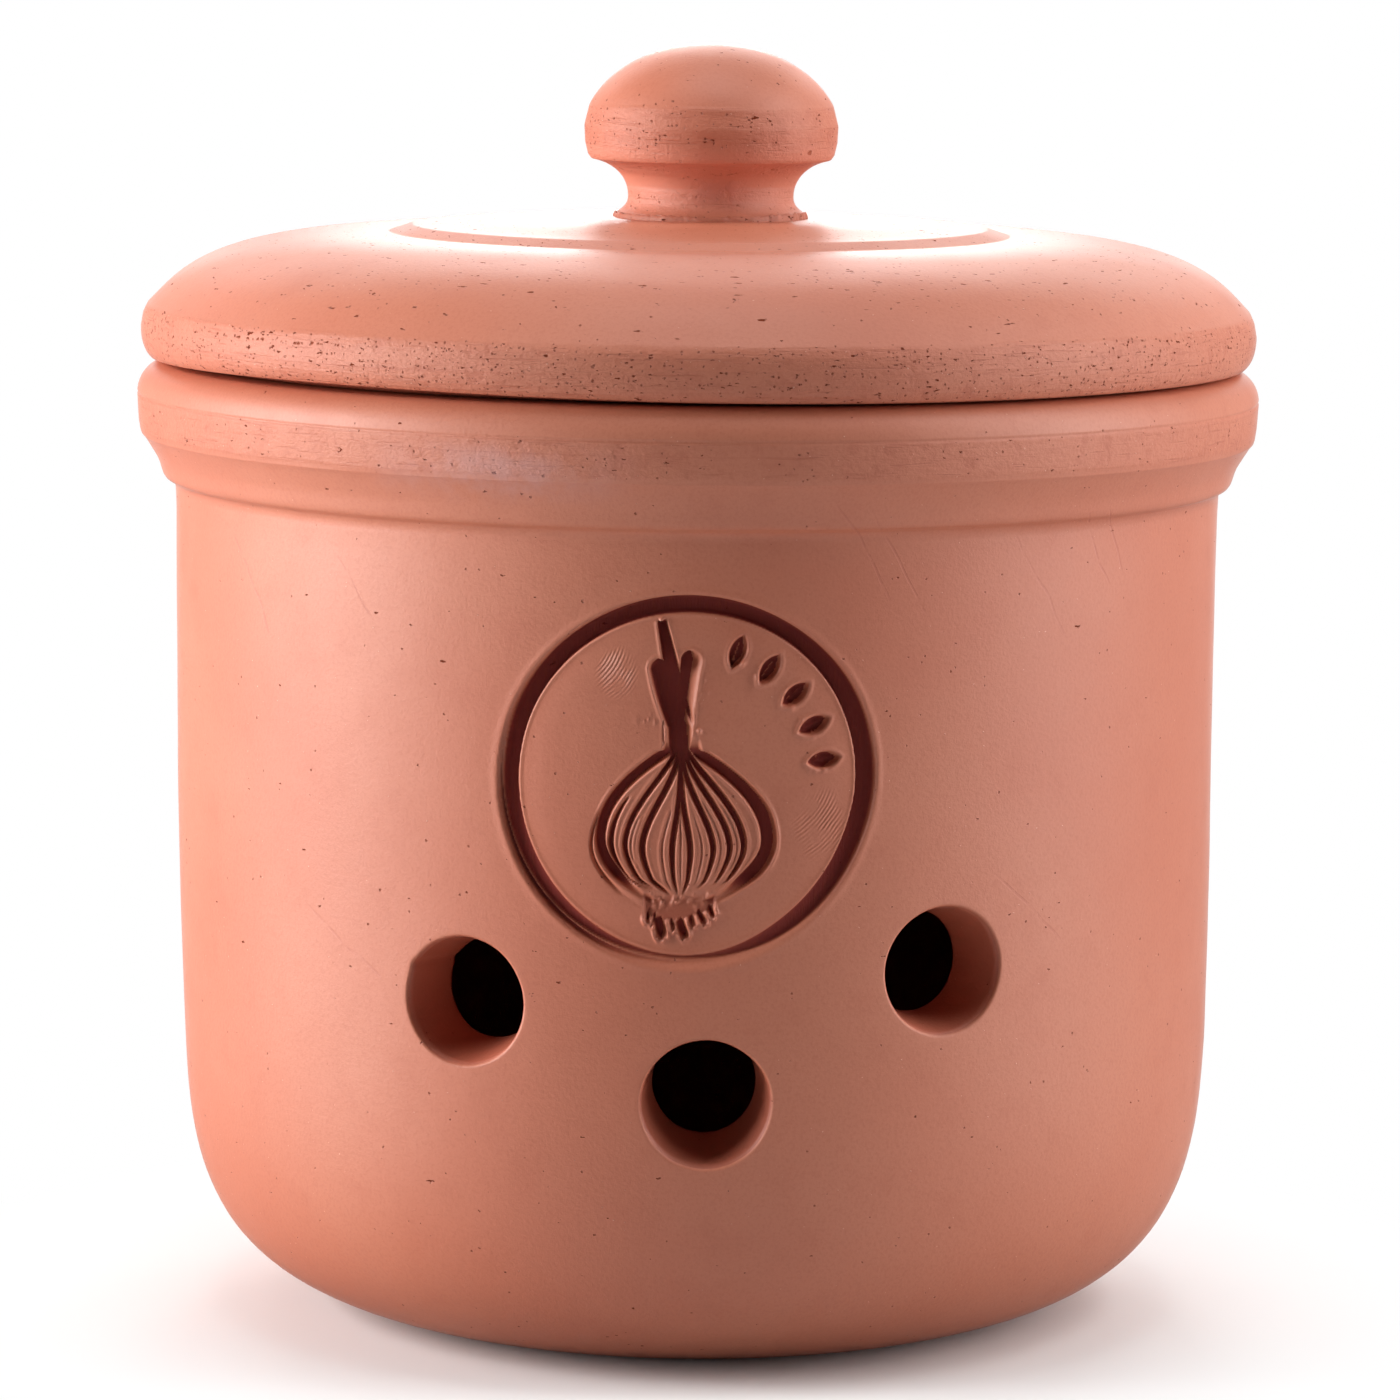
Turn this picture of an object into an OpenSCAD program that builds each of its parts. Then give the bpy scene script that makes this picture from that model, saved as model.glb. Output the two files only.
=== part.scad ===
// Terracotta onion keeper: a round jar with air holes and a pressed onion mark, closed by
// a loose domed lid. A turned knob is stuck on the lid with a layer of clay slip.
// Origin: middle of the foot on the table. The front, with the mark, faces -Y.

/* [Jar] */
// Outside diameter of the straight wall
body_d = 171.5; // [160:0.5:190]
// Height of the mouth above the table
mouth_h = 155.7; // [146:0.1:180]
// Thickness of the wall
wall = 12; // [9:0.5:14]
// Thickness of the floor
floor_t = 12; // [8:0.5:15]
// Diameter of the flat foot
foot_d = 104; // [90:1:112]
// Height at which the rounded bottom runs into the wall
corner_h = 70; // [64:1:80]
// How much the wall draws in from the collar down to the rounded bottom
wall_draw = 0.15; // [0:0.05:0.5]
// Width of the rounding between wall and floor inside
inner_corner_w = 30; // [20:1:40]
// Height of the rounding between wall and floor inside
inner_corner_h = 34; // [24:1:44]

/* [Collar] */
// How far the rolled collar stands out from the wall
collar_out = 6.65; // [5:0.05:9]
// Distance from the mouth down to the ridge under the collar
ridge_drop = 19.9; // [18:0.1:26]
// How far that ridge stands out from the wall
ridge_out = 1.05; // [0.3:0.05:2]
// Distance from the mouth down to the groove in the collar's flank
groove_drop = 15.1; // [13:0.1:17]
// How far the collar stands out at that groove
groove_out = 3.65; // [2.2:0.05:4]
// Distance from the mouth down to the lower edge of the collar's band
band_drop = 11; // [8:0.1:12.5]
// Radius of the rolled lip
lip_r = 5; // [3:0.1:6]
// Radius of the mouth's inner edge
mouth_edge_r = 2; // [1:0.1:4]

/* [Air holes] */
// Diameter of a hole at the outside
hole_d = 20.2; // [14:0.1:24]
// Diameter of a hole at the inside
hole_inner_d = 15.8; // [10:0.1:18]
// Angle of each hole round the mark, counted from straight down
hole_turns = [-44.9, 4.1, 54.1]; // [-70:0.1:70]
// Distance of each hole from the middle of the mark
hole_reaches = [50.3, 50.4, 51.8]; // [46:0.1:54]
// Upward slope of each hole towards the inside, in degrees
hole_tilts = [3, 9, 0]; // [0:1:12]

/* [Pressed mark] */
// Diameter of the ring round the mark
mark_d = 58.1; // [50:0.1:64]
// Width of the ring's groove
ring_w = 2.9; // [1:0.1:4]
// Depth of the ring and of the figure's lines
mark_depth = 1.4; // [0.6:0.1:2.5]
// Depth of the pressed disc inside the ring
disc_depth = 0.3; // [0.1:0.05:0.5]
// Height of the mark's middle above the table
mark_h = 97.85; // [90:0.05:104]
// Sideways place of the mark's middle
mark_x = -1.25; // [-6:0.05:6]
// Sideways place of the onion's middle in the mark
onion_x = -0.8; // [-3:0.1:3]
// Half the width of the pressed onion
onion_half_w = 13.4; // [8:0.1:16]
// Number of lines on each half of the onion
onion_lines = 4; // [2:1:6]
// Width of a cut leaf
leaf_w = 2.6; // [1:0.1:4]
// Number of roots
root_count = 7; // [3:1:11]
// Number of leaf dimples in the row beside the onion
dimple_count = 5; // [1:1:9]

/* [Lid] */
// How far the lid's edge stays inside the collar
lid_inset = 0.55; // [0:0.05:3]
// Height of the lid's rim up to its turned edge
rim_h = 9.4; // [7:0.1:12]
// Height of the lid's shoulder above the mouth
shoulder_h = 21.15; // [18:0.05:28]
// Diameter of the raised disc in the middle
disc_d = 94.4; // [70:0.1:110]
// Width of the bevel round the raised disc
disc_bevel = 4.9; // [2:0.1:8]
// Height of the raised disc at its edge
disc_step = 1.45; // [0.5:0.05:3]
// Rise of the raised disc from its edge to the knob
disc_rise = 1.4; // [0.5:0.05:3]
// Thickness of the lid in the middle
lid_t = 10; // [7:0.5:13]
// Depth of the ring under the lid that drops into the mouth
flange_h = 10; // [6:0.5:16]
// Thickness of that ring
flange_w = 8; // [5:0.5:12]
// Play between that ring and the mouth
flange_play = 2; // [1:0.1:4]

/* [Knob] */
// Largest diameter of the knob
knob_d = 42.3; // [36:0.1:52]
// Height of the knob above its foot
knob_h = 27.6; // [24:0.1:34]
// Diameter of the knob's foot
knob_foot_d = 30.8; // [28:0.1:34]
// Diameter of the knob's waist
waist_d = 27.8; // [20:0.1:28]
// Height of the waist above the knob's foot
waist_h = 2.6; // [1.5:0.1:4]
// Height of the head's lower edge above the knob's foot
head_low_h = 7.6; // [6:0.1:9]
// Thickness of the slip under the knob
slip_t = 0.7; // [0.4:0.05:1.2]
// How far the slip is squeezed out round the knob's foot
slip_out = 0.7; // [0.2:0.05:1.5]

/* [Hidden] */
clay = [0.80, 0.49, 0.38];
clay_lid = [0.78, 0.46, 0.35];
clay_knob = [0.74, 0.42, 0.32];
slip_clay = [0.72, 0.45, 0.36];
$fn = 96;
fine = 16;
coarse = 10;
cut_over = 4;
half_turn = 180;
right_angle = 90;

body_r = body_d / 2;
inner_r = body_r - wall;
corner_r = body_r - wall_draw;
foot_r = foot_d / 2;
collar_r = body_r + collar_out;
lid_r = collar_r - lid_inset;
flange_r = inner_r - flange_play;
disc_r = disc_d / 2;
shoulder_z = mouth_h + shoulder_h;
knob_seat_z = shoulder_z + disc_step + disc_rise;
knob_z = knob_seat_z + slip_t;
knob_r = knob_d / 2;
knob_foot_r = knob_foot_d / 2;

// Handles of a curve, as shares of the way from its start to its end: level or upright
// ones make a quarter round together, and a straight one points at the other end
level = [0.55, 0];
upright = [0, 0.55];
straight = [1 / 3, 1 / 3];

// Smooth curve from a to b with a handle at either end, without its first point
function curve(a, b, leave, arrive, n) = [
    for (i = [1:n]) let (
        t = i / n,
        s = 1 - t,
        way = b - a,
        c = a + [way[0] * leave[0], way[1] * leave[1]],
        d = b - [way[0] * arrive[0], way[1] * arrive[1]]
    ) a * pow(s, 3) + 3 * c * s * s * t + 3 * d * s * t * t + b * pow(t, 3)
];

// Arc about a middle point, from one angle to another
function arc(middle, r, from, to, n) = [
    for (i = [0:n]) let (a = from + (to - from) * i / n)
        middle + r * [cos(a), sin(a)]
];

// The jar: a thrown wall under a rolled collar

corner_leave = [1.01, 0.1];
corner_arrive = [0, 0.6];
ridge_fade = 6;
band_under = 0.9;

jar_outside = let (
    wall_top = [body_r, mouth_h - ridge_drop - ridge_fade],
    ridge = [body_r + ridge_out, mouth_h - ridge_drop],
    groove = [body_r + groove_out, mouth_h - groove_drop],
    band = [collar_r - band_under, mouth_h - band_drop],
    lip = [collar_r, mouth_h - lip_r]
) concat(
    [[0, 0], [foot_r, 0]],
    curve([foot_r, 0], [corner_r, corner_h], corner_leave, corner_arrive, 2 * fine),
    [wall_top],
    curve(wall_top, ridge, upright, straight, coarse),
    curve(ridge, groove, straight, upright, coarse),
    curve(groove, band, level, straight, coarse),
    curve(band, lip, straight, upright, coarse),
    arc([collar_r - lip_r, mouth_h - lip_r], lip_r, 0, right_angle, coarse)
);

jar_inside = let (
    wall_foot = [inner_r, floor_t + inner_corner_h],
    floor_edge = [inner_r - inner_corner_w, floor_t]
) concat(
    arc([inner_r + mouth_edge_r, mouth_h - mouth_edge_r], mouth_edge_r,
        right_angle, half_turn, coarse),
    [wall_foot],
    curve(wall_foot, floor_edge, upright, level, fine),
    [[0, floor_t]]
);

// Turns what faces the front to its place round the wall
module round_the_wall(x)
    rotate([0, 0, x / body_r * half_turn / PI]) children();

// Keeps the part of a cutter that lies within a depth of the wall's surface
module near_surface(depth)
    intersection() {
        children();
        difference() {
            cylinder(r = body_r + cut_over, h = mouth_h);
            cylinder(r = corner_r - depth, h = mouth_h);
        }
    }

// Stands a flat figure up at the mark's place, reaching out through the wall
module at_mark()
    round_the_wall(mark_x)
        translate([0, 0, mark_h])
            rotate([right_angle, 0, 0])
                linear_extrude(body_r + cut_over)
                    children();

module air_hole(turn, reach, tilt) {
    taper = (hole_d - hole_inner_d) / 2 / wall;
    round_the_wall(mark_x + reach * sin(turn))
        translate([0, -body_r, mark_h - reach * cos(turn)])
            rotate([tilt - right_angle, 0, 0])
                translate([0, 0, -cut_over])
                    cylinder(r1 = hole_d / 2 + taper * cut_over,
                             r2 = hole_inner_d / 2 - taper * cut_over,
                             h = wall + 2 * cut_over);
}

// The pressed onion: a ribbed bulb, a neck with three cut leaves and a tuft of roots

neck_y = 7;
waist_y = -7.5;
root_y = -18.8;
neck_half_w = 1.9;
root_half_w = 4.6;
neck_l = 3;
line_share = 0.4;
outline_share = 0.7;
neck_leave = [0.18, 0.32];
root_arrive = [0.45, 0.14];
leaf_leans = [-18, -8, 12];
leaf_ends = [18.2, 24.4, 19.6];
leaf_tip = 0.9;
root_w = 1.1;
root_l = 3.3;
root_l_odd = 2.2;
root_fan = 62;

// Half-widths of the bulb from its neck down to its roots
bulb_side = concat(
    [[neck_half_w, neck_y]],
    curve([neck_half_w, neck_y], [onion_half_w, waist_y], neck_leave, upright, coarse),
    curve([onion_half_w, waist_y], [root_half_w, root_y], upright, root_arrive, coarse)
);

// A line that follows the bulb's side at a share of its half-width
module bulb_line(share, line_w) {
    low = share - line_w / 2;
    high = share + line_w / 2;
    polygon(concat(
        [for (p = bulb_side) [p[0] * low, p[1]]],
        [for (i = [len(bulb_side) - 1:-1:0]) [bulb_side[i][0] * high, bulb_side[i][1]]]
    ));
}

module leaf(lean, end_y) {
    length = (end_y - neck_y) / cos(lean);
    translate([0, neck_y])
        rotate(-lean)
            polygon([[-neck_half_w, 0], [neck_half_w, 0], [leaf_w / 2, length],
                     [0, length + leaf_tip], [-leaf_w / 2, length]]);
}

module root(i) {
    place = 2 * i / (root_count - 1) - 1;
    length = i % 2 == 0 ? root_l : root_l_odd;
    translate([place * root_half_w, root_y - root_w])
        rotate(place * root_fan / 2)
            translate([-root_w / 2, -length])
                square([root_w, length]);
}

module onion_figure() {
    step = 1 / onion_lines;
    for (side = [-1, 1], i = [0:onion_lines - 1])
        bulb_line(side * (1 - i * step), (i == 0 ? outline_share : line_share) * step);
    bulb_line(0, line_share * step);
    translate([-neck_half_w, neck_y - neck_l])
        square([2 * neck_half_w, 2 * neck_l]);
    for (i = [0:len(leaf_leans) - 1])
        leaf(leaf_leans[i], leaf_ends[i]);
    for (i = [0:root_count - 1])
        root(i);
}

// A row of small leaf dimples along the ring's inner side
dimple_from = 9;
dimple_step = 15;
dimple_gap = 1.6;
dimple_l = 5.5;
dimple_w = 2.7;
ring_in_r = mark_d / 2 - ring_w;

module dimple() {
    bow_r = (pow(dimple_l, 2) + pow(dimple_w, 2)) / dimple_w / 4;
    intersection_for(side = [-1, 1])
        translate([0, side * (bow_r - dimple_w / 2)])
            circle(bow_r);
}

module dimple_row()
    for (i = [0:dimple_count - 1])
        rotate(dimple_from + i * dimple_step)
            translate([ring_in_r - dimple_gap - dimple_l / 2, 0])
                dimple();

module pressed_mark() {
    near_surface(disc_depth) at_mark() circle(d = mark_d);
    near_surface(mark_depth) at_mark() difference() {
        circle(d = mark_d);
        circle(r = ring_in_r);
    }
    near_surface(mark_depth) at_mark() translate([onion_x, 0]) onion_figure();
    near_surface(mark_depth) at_mark() dimple_row();
}

module pot_body()
    color(clay) difference() {
        rotate_extrude() polygon(concat(jar_outside, jar_inside));
        for (i = [0:len(hole_turns) - 1])
            air_hole(hole_turns[i], hole_reaches[i], hole_tilts[i]);
        pressed_mark();
    }

// The lid: a domed top with a thick rim, hollow inside its locating ring

rim_round = 2.95;
belly_up = 5.3;
rim_edge_in = 1.25;
shoulder_leave = [0.11, 0.46];
shoulder_arrive = [0.76, -0.02];
ceiling_drop = 3;
ceiling_in = 6;
flange_round = 1.6;
flange_lean = 0.5;

lid_profile = let (
    flange_in_r = flange_r - flange_w,
    rim_foot = [lid_r - rim_round, mouth_h],
    belly = [lid_r, mouth_h + belly_up],
    rim_edge = [lid_r - rim_edge_in, mouth_h + rim_h],
    disc_foot = [disc_r + disc_bevel, shoulder_z],
    disc_edge = [disc_r, shoulder_z + disc_step],
    seat_edge = [knob_foot_r + 2 * slip_out, knob_seat_z],
    ceiling = [0, knob_seat_z - lid_t],
    ceiling_edge = [flange_in_r - ceiling_in, knob_seat_z - lid_t - ceiling_drop],
    flange_side = [flange_in_r, mouth_h - flange_h + flange_round]
) concat(
    [[flange_r, mouth_h], rim_foot],
    curve(rim_foot, belly, level, upright, coarse),
    curve(belly, rim_edge, upright, straight, coarse),
    curve(rim_edge, disc_foot, shoulder_leave, shoulder_arrive, 2 * fine),
    curve(disc_foot, disc_edge, level, straight, coarse),
    curve(disc_edge, seat_edge, straight, level, fine),
    [[0, knob_seat_z], ceiling],
    curve(ceiling, ceiling_edge, level, upright, coarse),
    curve(ceiling_edge, flange_side, straight, upright, coarse),
    arc([flange_in_r + flange_round, mouth_h - flange_h + flange_round], flange_round,
        half_turn, half_turn + right_angle, coarse),
    arc([flange_r - flange_lean - flange_round, mouth_h - flange_h + flange_round],
        flange_round, -right_angle, 0, coarse)
);

module lid()
    color(clay_lid) rotate_extrude() polygon(lid_profile);

// The knob: a turned mushroom with a concave waist

edge_up = 1.3;
edge_out = 0.8;
edge_in = 0.9;
belly_h = 13.2;
facet_h = 17.7;
facet_in = 0.75;
dome_leave = [0.07, 0.36];

knob_profile = let (
    foot = [knob_foot_r, knob_z],
    waist = [waist_d / 2, knob_z + waist_h],
    head_low = [knob_r - edge_in - edge_out, knob_z + head_low_h],
    head_edge = [knob_r - edge_in, knob_z + head_low_h + edge_up],
    belly = [knob_r, knob_z + belly_h],
    facet = [knob_r - facet_in, knob_z + facet_h],
    crown = [0, knob_z + knob_h]
) concat(
    [[0, knob_z], foot],
    curve(foot, waist, level, upright, coarse),
    curve(waist, head_low, upright, level, coarse),
    curve(head_low, head_edge, level, upright, coarse),
    curve(head_edge, belly, straight, upright, coarse),
    curve(belly, facet, upright, straight, coarse),
    curve(facet, crown, dome_leave, level, 2 * fine)
);

module lid_knob()
    color(clay_knob) rotate_extrude() polygon(knob_profile);

// The slip: a thin layer under the knob, squeezed out in a bead round its foot

module knob_slip()
    color(slip_clay) rotate_extrude() polygon(concat(
        [[0, knob_seat_z]],
        arc([knob_foot_r + slip_out - slip_t / 2, knob_seat_z + slip_t / 2], slip_t / 2,
            -right_angle, right_angle, coarse),
        [[0, knob_z]]
    ));

pot_body();
lid();
lid_knob();
knob_slip();
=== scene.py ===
"""Terracotta onion keeper: a jar with air holes and a pressed mark, a domed lid and a turned knob.

Sizes are in millimetres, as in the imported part, and become metres when a mesh is finished.
The jar stands on the floor with its axis on +Z and its front, with the mark, towards -Y.
"""

import logging
import math
import random
from collections.abc import Callable, Sequence
from dataclasses import dataclass, field
from enum import Enum
from functools import reduce

import bmesh
import bpy
import numpy as np
from mathutils import Matrix, Vector, noise


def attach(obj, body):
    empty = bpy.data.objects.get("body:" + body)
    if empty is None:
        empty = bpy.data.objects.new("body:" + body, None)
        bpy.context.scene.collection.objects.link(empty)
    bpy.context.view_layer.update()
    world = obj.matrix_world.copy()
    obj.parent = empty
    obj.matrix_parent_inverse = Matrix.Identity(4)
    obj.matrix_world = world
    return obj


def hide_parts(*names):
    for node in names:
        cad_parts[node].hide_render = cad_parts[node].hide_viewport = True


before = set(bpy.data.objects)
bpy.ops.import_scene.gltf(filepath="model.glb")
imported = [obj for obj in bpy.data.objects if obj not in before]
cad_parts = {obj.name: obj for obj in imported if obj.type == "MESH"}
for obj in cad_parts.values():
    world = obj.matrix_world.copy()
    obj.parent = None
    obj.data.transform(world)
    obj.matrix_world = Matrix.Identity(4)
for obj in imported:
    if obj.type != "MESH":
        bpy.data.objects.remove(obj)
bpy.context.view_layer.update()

LOG = logging.getLogger("onion_keeper")
MM = 0.001
TURN = 2 * math.pi
MERGE = 1e-4
Point = tuple[float, float]
Pull = tuple[float, float]
Colour = tuple[float, float, float, float]
Grid = np.ndarray
Socket = bpy.types.NodeSocket

LEVEL: Pull = (0.55, 0.0)
UPRIGHT: Pull = (0.0, 0.55)
STRAIGHT: Pull = (1 / 3, 1 / 3)


def curve(start: Point, end: Point, leave: Pull, arrive: Pull, steps: int) -> list[Point]:
    """Draws a smooth profile curve without its first point.

    Args:
        start: First point, as radius and height.
        end: Last point.
        leave: Handle at the start, as shares of the way to the end.
        arrive: Handle at the end, as shares of the way back to the start.
        steps: Number of points.

    Returns:
        The points after the first, up to and with the last.
    """
    a, d = np.array(start), np.array(end)
    b, c = a + (d - a) * leave, d - (d - a) * arrive
    t = np.linspace(0, 1, steps + 1)[1:, None]
    s = 1 - t
    points = a * s**3 + 3 * b * s * s * t + 3 * c * s * t * t + d * t**3
    return [(float(r), float(z)) for r, z in points]


def arc(middle: Point, radius: float, first: float, last: float, steps: int) -> list[Point]:
    """Draws an arc of a profile.

    Args:
        middle: Centre of the arc.
        radius: Its radius.
        first: Angle of its first point, in degrees.
        last: Angle of its last point, in degrees.
        steps: Number of steps.

    Returns:
        The points with both ends.
    """
    angles = np.radians(np.linspace(first, last, steps + 1))
    return [(middle[0] + radius * math.cos(a), middle[1] + radius * math.sin(a)) for a in angles]


def worn(points: Sequence[Point], corners: Sequence[Point], size: float) -> list[Point]:
    """Wears chosen corners of a profile, so that the faces beside them stay crisp.

    Args:
        points: The profile.
        corners: Those of its points that are worn.
        size: How far a corner is worn back on both sides.

    Returns:
        The profile with the worn corners.
    """
    made = [points[0]]
    for before, at, after in zip(points, points[1:], points[2:]):
        if at not in corners:
            made.append(at)
            continue
        here = Vector(at)
        sides = []
        for other in (before, after):
            way = Vector(other) - here
            sides.append([here + way * min(k * size / way.length, 0.45) for k in (2.2, 1.0)])
        middle = (sides[0][1] + sides[1][1] + here * 2) / 4
        made += [tuple(point) for point in (*sides[0], middle, *sides[1][::-1])]
    return [*made, points[-1]]


def ramp(x: Grid, low: Grid | float, high: Grid | float) -> Grid:
    """Rises smoothly from 0 at low to 1 at high.

    Args:
        x: Where to read it.
        low: Where it starts.
        high: Where it ends.

    Returns:
        The values.
    """
    t = np.clip((x - low) / (high - low), 0, 1)
    return t * t * (3 - 2 * t)


def bell(x: Grid, middle: Grid | float, width: float) -> Grid:
    """A soft bump of height 1.

    Args:
        x: Where to read it.
        middle: Where it is highest.
        width: Distance at which it has fallen to about a third.

    Returns:
        The values.
    """
    return np.exp(-(((x - middle) / width) ** 2))


def azimuth(co: Vector) -> float:
    """Gives a point's angle round the axis from the front, to the viewer's right."""
    return math.atan2(co.x, -co.y)


def ripple(co: Vector, *waves: Point) -> float:
    """Adds up soft noises at a place; each wave is its strength and its span in millimetres."""
    return sum(strength * noise.noise(co / span) for strength, span in waves)


def push_out(vert: bmesh.types.BMVert, by: float) -> None:
    """Moves a vertex away from the upright axis by a distance."""
    share = 1 + by / math.hypot(vert.co.x, vert.co.y)
    vert.co.x, vert.co.y = vert.co.x * share, vert.co.y * share


def turned(profile: Sequence[Point], steps: int) -> bmesh.types.BMesh:
    """Turns a profile round the upright axis, as a potter's wheel does.

    Args:
        profile: Points as radius and height; an end on the axis closes the shape.
        steps: Number of steps round.

    Returns:
        A closed mesh in millimetres.
    """
    bm = bmesh.new()
    verts = [bm.verts.new((r, 0.0, z)) for r, z in profile]
    edges = [bm.edges.new(pair) for pair in zip(verts, verts[1:])]
    bmesh.ops.spin(bm, geom=[*verts, *edges], axis=(0, 0, 1), cent=(0, 0, 0), angle=TURN,
                   steps=steps, use_merge=True)
    bmesh.ops.remove_doubles(bm, verts=bm.verts, dist=MERGE)
    bmesh.ops.recalc_face_normals(bm, faces=bm.faces)
    return bm


def finish_piece(name: str, bm: bmesh.types.BMesh, material: bpy.types.Material,
                 body: str, node: str) -> bpy.types.Object:
    """Makes an object of a mesh in millimetres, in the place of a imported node.

    Args:
        name: Name of the piece.
        bm: Its mesh, which is used up.
        material: Its finish.
        body: Body that it rides on.
        node: Node that it stands for.

    Returns:
        The object.
    """
    bmesh.ops.recalc_face_normals(bm, faces=bm.faces)
    bmesh.ops.scale(bm, vec=(MM, MM, MM), verts=bm.verts)
    for face in bm.faces:
        face.smooth = True
    mesh = bpy.data.meshes.new(name)
    bm.to_mesh(mesh)
    bm.free()
    mesh.materials.append(material)
    piece = bpy.data.objects.new(name, mesh)
    bpy.context.scene.collection.objects.link(piece)
    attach(piece, body)
    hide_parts(node)
    mesh.calc_loop_triangles()
    LOG.info("%s: %d triangles", name, len(mesh.loop_triangles))
    return piece


# Finishes


class Graph:
    """A node tree being put together."""

    def __init__(self, tree: bpy.types.NodeTree) -> None:
        """Starts with an empty tree."""
        self.tree = tree
        tree.nodes.clear()

    def node(self, kind: str, inputs: dict | None = None, **settings: object) -> bpy.types.Node:
        """Adds a node.

        Args:
            kind: Type of the node.
            inputs: Values or sockets for its inputs, by name or number.
            settings: Properties to set on it.

        Returns:
            The node.
        """
        made = self.tree.nodes.new(kind)
        for key, value in settings.items():
            setattr(made, key, value)
        for key, value in (inputs or {}).items():
            if isinstance(value, Socket):
                self.tree.links.new(value, made.inputs[key])
            else:
                made.inputs[key].default_value = value
        return made

    def math(self, operation: str, a: object, b: object = 0.0) -> Socket:
        """Adds a sum on numbers and gives its result."""
        return self.node("ShaderNodeMath", {0: a, 1: b}, operation=operation).outputs[0]

    def product(self, *terms: object) -> Socket:
        """Multiplies several numbers."""
        return reduce(lambda a, b: self.math("MULTIPLY", a, b), terms)

    def total(self, *terms: object) -> Socket:
        """Adds several numbers."""
        return reduce(lambda a, b: self.math("ADD", a, b), terms)

    def most(self, *terms: object) -> Socket:
        """Gives the largest of several numbers."""
        return reduce(lambda a, b: self.math("MAXIMUM", a, b), terms)

    def rise(self, value: object, low: float, high: float) -> Socket:
        """Goes smoothly from 0 at low to 1 at high; high may be the lower one."""
        return self.node("ShaderNodeMapRange", {0: value, 1: low, 2: high},
                         interpolation_type="SMOOTHSTEP", clamp=True).outputs[0]

    def window(self, value: object, low: float, high: float, soft: float) -> Socket:
        """Is 1 between low and high, with soft ends."""
        return self.product(self.rise(value, low - soft, low + soft),
                            self.rise(value, high + soft, high - soft))

    def show(self, kind: str, share: Socket, first: bpy.types.Node,
             second: bpy.types.Node) -> None:
        """Mixes two shaders into an output.

        Args:
            kind: Type of the output.
            share: Share of the second shader.
            first: The first shader.
            second: The second shader.
        """
        mixed = self.node("ShaderNodeMixShader",
                          {0: share, 1: first.outputs[0], 2: second.outputs[0]})
        self.node(kind, {0: mixed.outputs[0]})


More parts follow.
